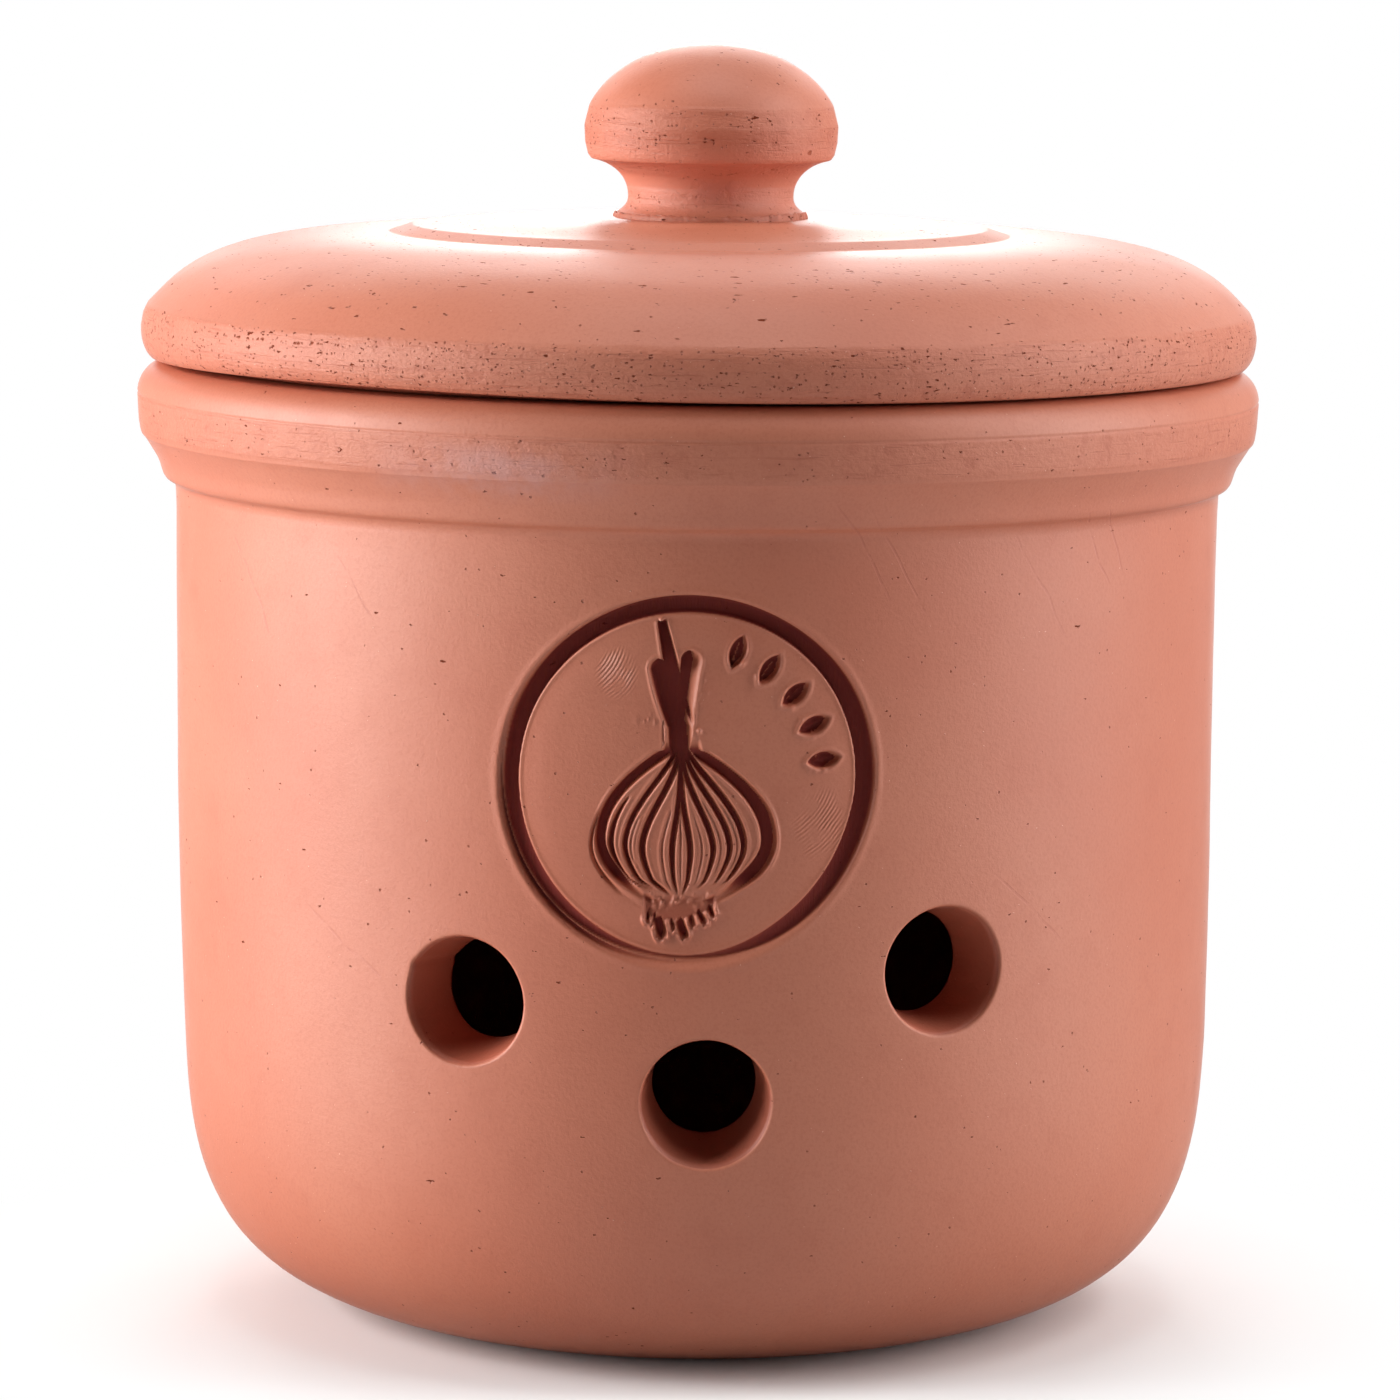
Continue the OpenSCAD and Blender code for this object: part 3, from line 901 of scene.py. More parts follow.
    def outline(self, u: Grid, v: Grid, thin: float = 1.0) -> tuple[Grid, Grid]:
        """Depth and burrs of the onion's outline, deeper on its right.

        Args:
            u: Places across, from the onion's axis.
            v: Places up.
            thin: Share of its width.

        Returns:
            The depths, and the heights of the burrs.
        """
        right = ramp(u, -1.0, 1.0)
        share = self.left_share + (1 - self.left_share) * right
        w = self.half_width(v) * share
        slope = self.slope(self.half_width, v)
        distance = np.abs(np.abs(u) - w) / np.sqrt(1 + (slope * share) ** 2)
        belly = 1 - ramp(v, -6.0, 3.0)
        taper = 0.42 + 0.58 * ramp(v, self.root[1] + 0.2, self.root[1] + 4.8)
        half_w = thin * taper * (0.72 + right * 0.38 * (0.35 + 0.65 * belly))
        fade = ramp(v, self.root[1] + 0.8, self.root[1] + 4.8)
        here = 1 - ramp(v, self.neck[1] - 1.2, self.neck[1] + 2.4)
        depth = self.groove(distance, half_w, 0.5) * (0.35 + 1.35 * fade) * here
        lip = self.burr(distance, half_w + 0.1) * (0.12 + 0.08 * right) * here
        above = ramp(v, self.root[1] - 0.6, self.root[1] + 0.3)
        return depth * above, lip * above

    def rib(self, u: Grid, v: Grid, rib: Rib) -> tuple[Grid, Grid]:
        """Depth and burrs of one rib.

        Args:
            u: Places across, from the onion's axis.
            v: Places up.
            rib: The rib.

        Returns:
            The depths, and the heights of the burrs.
        """
        def run(at: Grid) -> Grid:
            """Gives the rib's place across at a height."""
            lean = 1 + 1.1 * np.clip((at + 12) / 12, 0, 1.4) ** 2
            share = math.copysign(1, rib.share) * abs(rib.share) ** lean
            pinch = 1 - 0.55 * (1 - ramp(at, self.root[1] + 0.2, self.root[1] + 3.4))
            side = self.left_share if rib.share < 0 else 1.0
            return share * self.half_width(at) * side * pinch

        middle = run(v)
        slope = self.slope(run, v)
        distance = np.abs(u - middle) / np.sqrt(1 + slope**2)
        ends = ramp(v, rib.bottom - 0.2, rib.bottom + 1.4) * (1 - ramp(v, rib.top - 1.0, rib.top))
        above = rib.top - v if rib.top < 3.0 else np.full_like(v, 7.0)
        full = np.sqrt(np.clip(np.minimum(above, v - rib.bottom) / 7.0, 0.1, 1))
        half_w = rib.half_w * full
        sunk = rib.depth * (1 + 0.65 * ramp(v, 1.0, 5.0))
        depth = self.groove(distance, half_w, 0.3) * sunk * (0.55 + 0.45 * full) * ends
        side = np.where(u > middle, 1.0, 0.8)
        return depth, self.burr(distance, half_w + 0.06) * side * 0.13 * ends

    def leaf(self, u: Grid, v: Grid, leaf: Leaf) -> tuple[Grid, Grid]:
        """Depth and burrs of one cut leaf.

        Args:
            u: Places across.
            v: Places up.
            leaf: The leaf.

        Returns:
            The depths, and the heights of the burrs.
        """
        du, dv = leaf.tip[0] - leaf.foot[0], leaf.tip[1] - leaf.foot[1]
        length = math.hypot(du, dv)
        along = ((u - leaf.foot[0]) * du + (v - leaf.foot[1]) * dv) / length
        across = ((u - leaf.foot[0]) * dv - (v - leaf.foot[1]) * du) / length
        share = np.clip(along / length, 0, 1)
        half_w = leaf.half_w[0] * (1 - share) + leaf.half_w[1] * share
        half_w = half_w + 4 * leaf.swell * share * (1 - share)
        over = np.maximum(along - length + half_w * leaf.blunt, 0) / max(leaf.blunt, 0.05)
        inside = half_w - np.hypot(across, over)
        wall = leaf.walls[0] + (leaf.walls[1] - leaf.walls[0]) * ramp(across, -0.4, 0.4)
        start = ramp(along, -3.0, 0.6)
        depth = self.leaf_depth * leaf.deep * ramp(inside, 0.0, wall) * start
        lip = 0.15 * bell(inside, -0.16, 0.24) * start * min(1.0, 2 * leaf.deep)
        return depth, lip

    def root_tuft(self, u: Grid, v: Grid) -> Grid:
        """Depth of the roots: small pits with a torn rim at their lower ends.

        Args:
            u: Places across.
            v: Places up.

        Returns:
            The depths, less their rims.
        """
        depth, rim = np.zeros_like(u), np.zeros_like(u)
        for (top_u, top_v), (low_u, low_v), half_w in self.roots:
            du, dv = low_u - top_u, low_v - top_v
            share = np.clip(((u - top_u) * du + (v - top_v) * dv) / (du**2 + dv**2), 0, 1)
            distance = np.hypot(u - top_u - du * share, v - top_v - dv * share) - half_w
            low = 1 - ramp(v, low_v - 0.5 * half_w, low_v + 0.6)
            distance = distance + 0.10 * np.sin(6.1 * u + 2.3 * v)
            depth = np.maximum(depth, 1.3 * (1 - ramp(distance, -0.5 - 0.3 * low, 0.14)))
            torn = 0.6 + 0.4 * np.sin(5.0 * u + 3.1 * v)
            rim = np.maximum(rim, bell(distance, 0.28, 0.22) * (0.22 + 0.5 * low * torn))
        torn_edge = -21.7 + 0.05 * (u + 2.0) ** 2 + 0.22 * np.sin(4.3 * u)
        smear = ramp(v, torn_edge - 0.15, torn_edge + 0.3) * (1 - ramp(v, -18.4, -16.6)) * (
            1 - ramp(np.abs(u - self.axis_u), 5.2, 5.7))
        rim = np.maximum(rim, 0.16 * bell(v - torn_edge, -0.32, 0.22) * (np.abs(u + 0.8) < 5.6))
        return np.maximum(depth, 0.55 * smear) - rim * (depth < 0.2) * (1 - smear)

    def dimple_row(self, u: Grid, v: Grid) -> Grid:
        """Depth of the row of small leaf dimples beside the onion.

        Args:
            u: Places across.
            v: Places up.

        Returns:
            The depths, less their burrs.
        """
        length, width = self.dimple_size
        bow = (length**2 + width**2) / width / 4
        middle = self.ring_in - self.dimple_gap - length / 2
        depth, lip = np.zeros_like(u), np.zeros_like(u)
        for i in range(self.dimples):
            angle = math.radians(self.dimple_from + i * self.dimple_step)
            along = u * math.cos(angle) + v * math.sin(angle) - middle
            across = v * math.cos(angle) - u * math.sin(angle)
            outside = np.hypot(along, np.abs(across) + bow - width / 2) - bow
            vein = 0.35 * bell(across, 0.0, 0.22) * (1 - ramp(np.abs(along), 1.2, 2.4))
            deep = 1.55 * (1 - ramp(outside, -0.55, 0.1))
            depth = np.maximum(depth, deep - vein * (deep > 1.0))
            torn = 0.14 + 0.16 * (1 - ramp(along, -length / 2, 0.0))
            lip = np.maximum(lip, bell(outside, 0.32, 0.24) * torn)
        return depth - lip * (depth < 0.1)

    def depth(self, u: Grid, v: Grid) -> Grid:
        """Depth of the whole mark.

        Args:
            u: Places across.
            v: Places up.

        Returns:
            The depths into the clay, negative where clay stands up.
        """
        rho = np.hypot(u, v)
        inside = 1 - ramp(rho, self.ring_in - 0.6, self.ring_in - 0.1)
        a = u - self.axis_u
        cut, lip = self.outline(a, v)
        slipped, _ = self.outline(a - self.slip_u, v - self.slip_v, 0.25)
        there = (1 - ramp(a, -7.0, -3.0)) * (1 - ramp(v, -5.6, -3.6))
        cut = np.maximum(cut, 0.45 * slipped * there)
        parts = [self.rib(a, v, rib) for rib in self.ribs]
        parts += [self.leaf(u, v, leaf) for leaf in self.leaves]
        for depth, edge in parts:
            cut, lip = np.maximum(cut, depth), np.maximum(lip, edge)
        figure = cut - lip * (1 - ramp(cut, 0.05, 0.45)) + self.root_tuft(u, v)
        crumbs = np.zeros_like(u)
        for cu, cv, size, high in self.crumbs:
            near = (np.abs(u - cu) < 1.2) & (np.abs(v - cv) < 1.2)
            crumbs[near] += high * np.exp(-((u[near] - cu) ** 2 + (v[near] - cv) ** 2) / size**2)
        return (self.ring(u, v) + self.disc(u, v)
                + inside * (figure + self.dimple_row(u, v) - crumbs))

    def is_figure(self, u: float, v: float) -> bool:
        """Says whether the onion itself is near a place.

        Args:
            u: Place across.
            v: Place up.

        Returns:
            True if it is.
        """
        a = u - self.axis_u
        if self.root[1] - 1.5 < v < self.neck[1] + 1.0:
            return abs(a) < float(self.half_width(np.array(v))) + 2.2
        if v >= self.neck[1]:
            return v < 26.0 and -6.8 < u < 3.6
        return v > -25.0 and -7.0 < u < 5.4

    def is_fine(self, u: float, v: float) -> bool:
        """Says whether the mark needs a fine mesh at a place.

        Args:
            u: Place across.
            v: Place up.

        Returns:
            True if it does.
        """
        rho = math.hypot(u, v)
        turn = math.degrees(math.atan2(v, u))
        return (self.ring_in - 0.8 < rho < self.ring_out + 1.0 or self.is_figure(u, v)
                or (17.8 < rho and -2 < turn < 78))


# The jar


@dataclass(frozen=True)
class AirHole:
    """A round hole cut through the wall.

    Attributes:
        arc: Place round the wall, to the viewer's right from the front.
        height: Height of its middle on the outside.
        tilt: Upward slope towards the inside, in degrees.
        chip: Angle of a small chip in its edge, in degrees, if it has one.
    """

    arc: float
    height: float
    tilt: float
    chip: float | None = None


@dataclass
class Jar:
    """The thrown jar: rounded bottom, straight wall, rolled collar, mark and air holes."""

    body_r: float = 85.65
    mouth_h: float = 155.7
    wall: float = 12.0
    floor_t: float = 12.0
    foot_r: float = 52.0
    corner_h: float = 70.0
    wall_draw: float = 0.15
    collar: tuple[Point, ...] = (
        (85.8, 135.4), (86.3, 136.3), (86.8, 136.62), (87.45, 136.9), (87.85, 137.5),
        (88.1, 138.2), (88.4, 139.2), (88.8, 140.2), (89.4, 141.2), (90.15, 142.4), (90.85, 143.5),
        (91.4, 144.1), (91.6, 144.8), (91.85, 146.5), (92.08, 150.3), (91.93, 150.65),
        (92.08, 151.0))
    collar_edges: tuple[int, ...] = (2, 11, 14, 15, 16)
    lip_r: float = 5.0
    hole_r: float = 10.1
    hole_inner_r: float = 7.9
    hole_round: float = 0.5
    columns: int = 180
    row: float = 3.0
    square: float = 4.6
    skin: float = 5.0
    mark: PressedMark = field(default_factory=PressedMark)
    holes: tuple[AirHole, ...] = (
        AirHole(-36.76, 62.22, 3.0, 150.0), AirHole(2.35, 47.58, 9.0), AirHole(40.71, 67.48, 0.0))
    finish: Clay = Clay("jar_clay", figure=Figure.JAR, bands=((144.8, 150.6),), band_pits=0.12,
                        plain_pits=0.020, turning=0.05)

    def outside(self) -> list[Point]:
        """Draws the outer profile.

        Returns:
            Its points from the foot's middle up to the mouth.
        """
        corner_r = self.body_r - self.wall_draw
        lip = arc((self.collar[-1][0] - self.lip_r, self.mouth_h - self.lip_r), self.lip_r,
                  6, 90, 12)
        wall_top = (self.body_r, self.collar[0][1] - 5.4)
        points = [(0.0, 0.0), (26.0, 0.0), (self.foot_r - 2, 0.0), (self.foot_r, 0.05)]
        points += curve(points[-1], (corner_r, self.corner_h), (1.01, 0.1), (0.0, 0.6), 40)
        points += [wall_top]
        points += curve(wall_top, self.collar[0], UPRIGHT, STRAIGHT, 6)
        points += worn([points[-1], *self.collar[1:], *lip],
                       [self.collar[i] for i in self.collar_edges], 0.10)[1:]
        return points

    def inside(self) -> list[Point]:
        """Draws the inner profile.

        Returns:
            Its points from the mouth's edge down to the floor's middle.
        """
        inner_r = self.body_r - self.wall
        points = arc((inner_r + 2, self.mouth_h - 2), 2, 90, 180, 5)
        points += [(inner_r, self.floor_t + 34)]
        points += curve(points[-1], (inner_r - 30, self.floor_t), UPRIGHT, LEVEL, 18)
        return points + [(20.0, self.floor_t), (0.0, self.floor_t)]

    def __post_init__(self) -> None:
        """Keeps both profiles as tables of heights and radii."""
        outer = [p for p in self.outside() if p[0] > self.foot_r - 1]
        outer = outer[: next(i for i, p in enumerate(outer) if p[1] > self.mouth_h - self.lip_r)]
        self.outer = np.array(outer).T[::-1]
        inner = [p for p in self.inside()[::-1] if p[0] > 40]
        inner = [p for i, p in enumerate(inner) if i == 0 or p[1] > inner[i - 1][1] + 1e-6]
        self.inner = np.array(inner).T[::-1]

    def rows(self, points: list[Point], low: float, high: float) -> list[Point]:
        """Replaces a stretch of a profile by points at even heights.

        Args:
            points: The profile.
            low: Height at which the rows start.
            high: Height at which they end.

        Returns:
            The profile with the rows in it.
        """
        table = sorted((z, r) for r, z in points if r > 40)
        heights = np.arange(low, high + 0.1, self.row)
        made = [(float(np.interp(z, [t[0] for t in table], [t[1] for t in table])), float(z))
                for z in heights]
        below = [p for p in points if p[1] < low - 0.5]
        above = [p for p in points if p[1] > high + 0.5]
        if points[0][1] > points[-1][1]:
            return above + made[::-1] + below
        return below + made + above

    def in_square(self, face: bmesh.types.BMFace, hole: AirHole, outside: bool) -> bool:
        """Says whether a face lies in the square that a hole is worked in.

        Args:
            face: The face.
            hole: The hole.
            outside: Whether the outer side of the wall is meant.

        Returns:
            True if it does.
        """
        middle = face.calc_center_median()
        radius = math.hypot(middle.x, middle.y)
        if (radius > self.body_r - self.wall / 2) != outside or middle.z < self.floor_t + 8:
            return False
        step = TURN / self.columns
        column = math.floor(hole.arc / self.body_r / step) + 0.5
        level = (math.floor(hole.height / self.row) + 0.5) * self.row
        return (abs(azimuth(middle) / step - column) < self.square
                and abs(middle.z - level) < self.square * self.row)

    def wall_radius(self, z: float, outside: bool) -> float:
        """Gives the wall's outer or inner radius at a height."""
        heights, radii = self.outer if outside else self.inner
        return float(np.interp(z, heights, radii))

    def slide_to_wall(self, point: Vector, along: Vector, outside: bool) -> Vector:
        """Slides a point along a hole's direction until it lies on the wall.

        Args:
            point: The point.
            along: Direction of the hole, inwards.
            outside: Whether it ends on the outer side.

        Returns:
            The point on the wall.
        """
        for _ in range(8):
            off = math.hypot(point.x, point.y) - self.wall_radius(point.z, outside)
            point = point + along * off
        return point

    def open_hole(self, bm: bmesh.types.BMesh, hole: AirHole) -> None:
        """Opens a hole with rounded edges through the wall.

        Args:
            bm: The jar's mesh.
            hole: The hole.
        """
        loops = []
        for outside in (True, False):
            faces = [f for f in bm.faces if self.in_square(f, hole, outside)]
            inner = set(faces)
            rim = [e for f in faces for e in f.edges
                   if sum(1 for g in e.link_faces if g in inner) == 1]
            bmesh.ops.subdivide_edges(bm, edges=list(set(rim)), cuts=2)
            faces = [f for f in bm.faces if self.in_square(f, hole, outside)]
            bmesh.ops.delete(bm, geom=faces, context="FACES")
            loops.append([e for e in bm.edges if e.is_boundary and not any(e in l for l in loops)])

        a = hole.arc / self.body_r
        tilt = math.radians(hole.tilt)
        out = Vector((math.sin(a), -math.cos(a), 0))
        along = -out * math.cos(tilt) + Vector((0, 0, math.sin(tilt)))
        right = Vector((math.cos(a), math.sin(a), 0))
        up = right.cross(-along)
        if up.z < 0:
            up = -up
        middle = out * self.wall_radius(hole.height, True) + Vector((0, 0, hole.height))

        def polar(co: Vector) -> Point:
            """Gives a point's angle and distance round the hole's axis."""
            off = co - middle
            return math.atan2(off.dot(up), off.dot(right)), math.hypot(off.dot(up), off.dot(right))

        def at(angle: float, r: float, depth: float, share: float = 0.0) -> Vector:
            """Gives a place at a distance from the axis and a depth, or share of the wall."""
            wobble = 0.10 * noise.noise(Vector((math.cos(angle) * 1.6, math.sin(angle) * 1.6,
                                                hole.arc)))
            if hole.chip is not None:
                off = (math.degrees(angle) - hole.chip + 180) % 360 - 180
                wobble += 0.32 * math.exp(-((off / 5) ** 2)) * max(0.0, 1 - depth / 2.0)
            r += wobble
            flat = middle + right * (r * math.cos(angle)) + up * (r * math.sin(angle))
            start = self.slide_to_wall(flat, along, True)
            if share == 0.0:
                return start + along * depth
            end = self.slide_to_wall(flat, along, False)
            return start.lerp(end, share) + along * depth

        rings: list[Callable[[float, float], Vector]] = []
        wide = self.hole_r + self.hole_round
        for share in (0.45, 0.8):
            rings.append(lambda t, r, s=share: at(t, r + (wide + 0.5 - r) * s, 0))
        rings.append(lambda t, r: at(t, wide + 0.45, 0))
        for angle in (0, 14, 28, 42, 56, 70, 84):
            sink = self.hole_round * (1 - math.cos(math.radians(angle)))
            give = self.hole_round * (1 - math.sin(math.radians(angle)))
            rings.append(lambda t, r, s=sink, g=give: at(t, self.hole_r + g, s))
        slim = self.hole_r - self.hole_inner_r
        first, last = self.hole_round / self.wall, 1 - 1.0 / self.wall
        for i in range(9):
            share = first + (last - first) * i / 8
            rings.append(lambda t, r, s=share: at(t, self.hole_r - slim * s, 0, s))
        for angle in (30, 60, 90):
            sink = 1.0 - math.sin(math.radians(angle))
            give = 1.0 - math.cos(math.radians(angle))
            rings.append(lambda t, r, s=sink, g=give: at(t, self.hole_inner_r + g, -s, 1.0))
        rounded = 9

        # Marks the hole's inner walls, which the finish paints with shade.
        hole_shade = bm.verts.layers.float["hole_shade"]
        edges = loops[0]
        for count, place in enumerate(rings):
            made = bmesh.ops.extrude_edge_only(bm, edges=edges)["geom"]
            edges = [g for g in made if isinstance(g, bmesh.types.BMEdge)
                     and g.is_boundary]
            for vert in {v for e in edges for v in e.verts}:
                vert.co = place(*polar(vert.co))
                vert[hole_shade] = float(count >= rounded)
        bmesh.ops.bridge_loops(bm, edges=edges + loops[1])

    def press_mark(self, bm: bmesh.types.BMesh) -> None:
        """Presses the mark into the front of the wall, and stores on each point how much shade its
        grooves get painted.

        Args:
            bm: The jar's mesh.
        """
        mark = self.mark

        def place(co: Vector) -> Point:
            """Gives a point's place from the mark's middle."""
            return azimuth(co) * self.body_r - mark.sideways, co.z - mark.height

        def outer(face: bmesh.types.BMFace, reach: float) -> bool:
            """Says whether a face of the outer wall lies near the mark."""
            middle = face.calc_center_median()
            return (math.hypot(middle.x, middle.y) > self.body_r - self.skin
                    and math.hypot(*place(middle)) < reach)

        def near_edges(test: Callable[[float, float], bool], reach: float,
                       level: bool = False) -> list[bmesh.types.BMEdge]:
            """Gives the edges of the faces that a test picks, or only the level ones."""
            edges = {e for f in bm.faces if outer(f, reach) and test(*place(
                f.calc_center_median())) for e in f.edges}
            if level:
                edges = {e for e in edges if abs(e.verts[0].co.z - e.verts[1].co.z) < 0.01}
            return list(edges)

        for edges, cuts in ((lambda: near_edges(lambda u, v: True, mark.reach + 2.6), 5),
                            (lambda: near_edges(mark.is_fine, mark.reach), 1),
                            (lambda: near_edges(mark.is_figure, mark.reach, True), 1)):
            bmesh.ops.subdivide_edges(bm, edges=edges(), cuts=cuts, use_grid_fill=True)
        pressed = bm.verts.layers.float.new("pressed")
        near = [v for v in bm.verts if math.hypot(v.co.x, v.co.y) > self.body_r - self.skin
                and math.hypot(*place(v.co)) < mark.reach + 4]
        places = np.array([place(v.co) for v in near])
        depths = mark.depth(places[:, 0], places[:, 1])
        # The pressed attribute holds painted shade: the depth, lessened on walls inside the ring
        # that face the lamps on the left.
        lit = (mark.depth(places[:, 0] - 0.1, places[:, 1])
               - mark.depth(places[:, 0] + 0.1, places[:, 1])) / 0.2
        groove_shade = depths * (1 - 0.9 * ramp(lit, 0.35, 1.2)
                           * (np.hypot(places[:, 0], places[:, 1]) < mark.ring_in - 0.5))
        for vert, depth, floor in zip(near, depths, groove_shade):
            radius = self.wall_radius(vert.co.z, True) - float(depth)
            a = azimuth(vert.co)
            vert.co.x, vert.co.y = radius * math.sin(a), -radius * math.cos(a)
            vert[pressed] = float(floor)

    def shake(self, bm: bmesh.types.BMesh) -> None:
        """Gives the thrown wall the slight unevenness of handwork.

        Args:
            bm: The jar's mesh.
        """
        for vert in bm.verts:
            radius = math.hypot(vert.co.x, vert.co.y)
            if radius < 30 or vert.co.z < 0.5:
                continue
            turn = (vert.co.x / radius) ** 2
            push_out(vert, ripple(vert.co, (0.22, 55), (0.05, 9))
                     - 0.4 * turn * math.exp(-(((vert.co.z - 50) / 18) ** 2)))
            vert.co.x += 0.6 * turn * min(1.0, max(0.0, (90 - vert.co.z) / 45))

    def build(self) -> bpy.types.Object:
        """Builds the jar.

        Returns:
            The piece.
        """
        outside = self.rows(self.outside(), 33.0, 129.0)
        inside = self.rows(self.inside(), 33.0, 141.0)
        bm = turned(outside + inside, self.columns)
        # Layer for the painted shade inside the holes.
        bm.verts.layers.float.new("hole_shade")
        for hole in self.holes:
            self.open_hole(bm, hole)
        self.press_mark(bm)
        self.shake(bm)
        return finish_piece("jar_of_thrown_clay", bm, self.finish.material(), "jar", "pot_body")


# The lid, its knob and the slip between them


@dataclass
class Lid:
    """The domed lid: thick turned rim, shoulder, raised disc and locating ring."""

    edge_r: float = 91.85
    mouth_h: float = 155.7
    rim_h: float = 9.4
    shoulder_h: float = 21.3
    disc_r: float = 47.25
    disc_bevel: float = 3.6
    disc_step: float = 1.2
    disc_rise: float = 1.45
    seat_r: float = 16.8
    thick: float = 10.0
    ring_r: float = 71.75
    ring_w: float = 8.0
    ring_h: float = 10.0
    columns: int = 220
    finish: Clay = Clay("lid_clay", figure=Figure.LID, bands=((155.0, 164.9),), band_pits=0.66,
                        plain_pits=0.03, turning=0.13)

    def profile(self) -> list[Point]:
        """Draws the profile.

        Returns:
            Its points from the top's middle round the rim to the ceiling's middle.
        """
        top = self.mouth_h + self.shoulder_h
        seat = top + self.disc_step + self.disc_rise
        disc_edge = (self.disc_r, top + self.disc_step)
        disc_foot = (self.disc_r + self.disc_bevel, top)
        rim_edge = (self.edge_r - 1.4, self.mouth_h + self.rim_h)
        facet = (self.edge_r - 0.70, self.mouth_h + 7.85)
        belly = (self.edge_r - 0.33, self.mouth_h + 5.7)
        rim_foot = (self.edge_r - 1.95, self.mouth_h + 0.5)
        under = (self.edge_r - 5.25, self.mouth_h + 0.05)
        ring_in = self.ring_r - self.ring_w
        ceiling = seat - self.thick
        ring_z = self.mouth_h - self.ring_h + 1.6
        points = [(0.0, seat), (8.0, seat), (self.seat_r, seat)]
        points += curve(points[-1], disc_edge, LEVEL, STRAIGHT, 16)
        points += [disc_foot]
        points += curve(disc_foot, rim_edge, (0.76, -0.02), (0.13, 0.44), 46)
        points += [facet, belly]
        points += curve(belly, rim_foot, UPRIGHT, (0.5, 0.15), 12)
        points += [under]
        points = worn(points, (disc_edge, disc_foot, rim_edge, facet), 0.25)
        points += [(84.0, self.mouth_h), (81.5, self.mouth_h), (self.ring_r, self.mouth_h)]
        points += arc((self.ring_r - 2.1, ring_z), 1.6, 0, -90, 5)
        points += arc((ring_in + 1.6, ring_z), 1.6, -90, -180, 5)
        edge = (ring_in - 6, ceiling - 3)
        points += curve((ring_in, ring_z), edge, UPRIGHT, STRAIGHT, 12)
        points += curve(edge, (0.0, ceiling), UPRIGHT, LEVEL, 14)
        return points

    def build(self) -> bpy.types.Object:
        """Builds the lid.

        Returns:
            The piece.
        """
        bm = turned(self.profile(), self.columns)
        for vert in bm.verts:
            radius = math.hypot(vert.co.x, vert.co.y)
            if radius < 30 or vert.co.z < self.mouth_h - 0.01:
                continue
            push_out(vert, ripple(vert.co, (0.20, 60), (0.06, 7)))
            if radius > 82.0:
                turn = math.degrees(azimuth(vert.co))
                worn_off = 0.95 * math.exp(-(((turn + 40) / 34) ** 2)) + 0.2
                worn_off *= min(1.0, (radius - 82) / 5)
                vert.co.z += worn_off * max(0.0, 1 - (vert.co.z - self.mouth_h) / 3.6)
        return finish_piece("domed_lid", bm, self.finish.material(), "lid_body", "lid")


@dataclass
class Knob:
    """The turned mushroom knob with its concave waist; its points are radius and height."""

    foot_z: float = 180.4
    foot_r: float = 15.5
    waist: Point = (13.6, 183.0)
    corner: Point = (19.75, 189.2)
    side: tuple[Point, ...] = ((20.3, 190.0), (20.75, 192.0), (20.85, 194.7), (20.0, 198.0))
    top_z: float = 208.0
    off_middle: float = 1.7
    columns: int = 160
    finish: Clay = Clay("knob_clay", figure=Figure.KNOB, bands=((187.0, 198.0), (181.0, 184.5)),
                        band_pits=0.26, plain_pits=0.07, turning=0.08, pit_size=1.15,
                        scoring=0.22)

    def profile(self) -> list[Point]:
        """Draws the profile.

        Returns:
            Its points from the foot's middle round to the crown.
        """
        foot = (self.foot_r, self.foot_z)
        points = [(0.0, self.foot_z), (8.0, self.foot_z), foot]
        points += curve(foot, self.waist, (0.45, 0.22), UPRIGHT, 8)
        points += curve(self.waist, self.corner, UPRIGHT, (0.55, 0.10), 14)
        points += self.side
        points += curve(points[-1], (0.0, self.top_z), (0.10, 0.40), (0.60, 0.0), 28)
        return worn(points, (self.corner, *self.side[-2:]), 0.22)

    def build(self) -> bpy.types.Object:
        """Builds the knob.

        Returns:
            The piece.
        """
        bm = turned(self.profile(), self.columns)
        for vert in bm.verts:
            if math.hypot(vert.co.x, vert.co.y) > 3:
                push_out(vert, ripple(vert.co, (0.10, 14), (0.04, 3)))
            vert.co.x += self.off_middle
        return finish_piece("turned_knob", bm, self.finish.material(), "lid_body", "lid_knob")


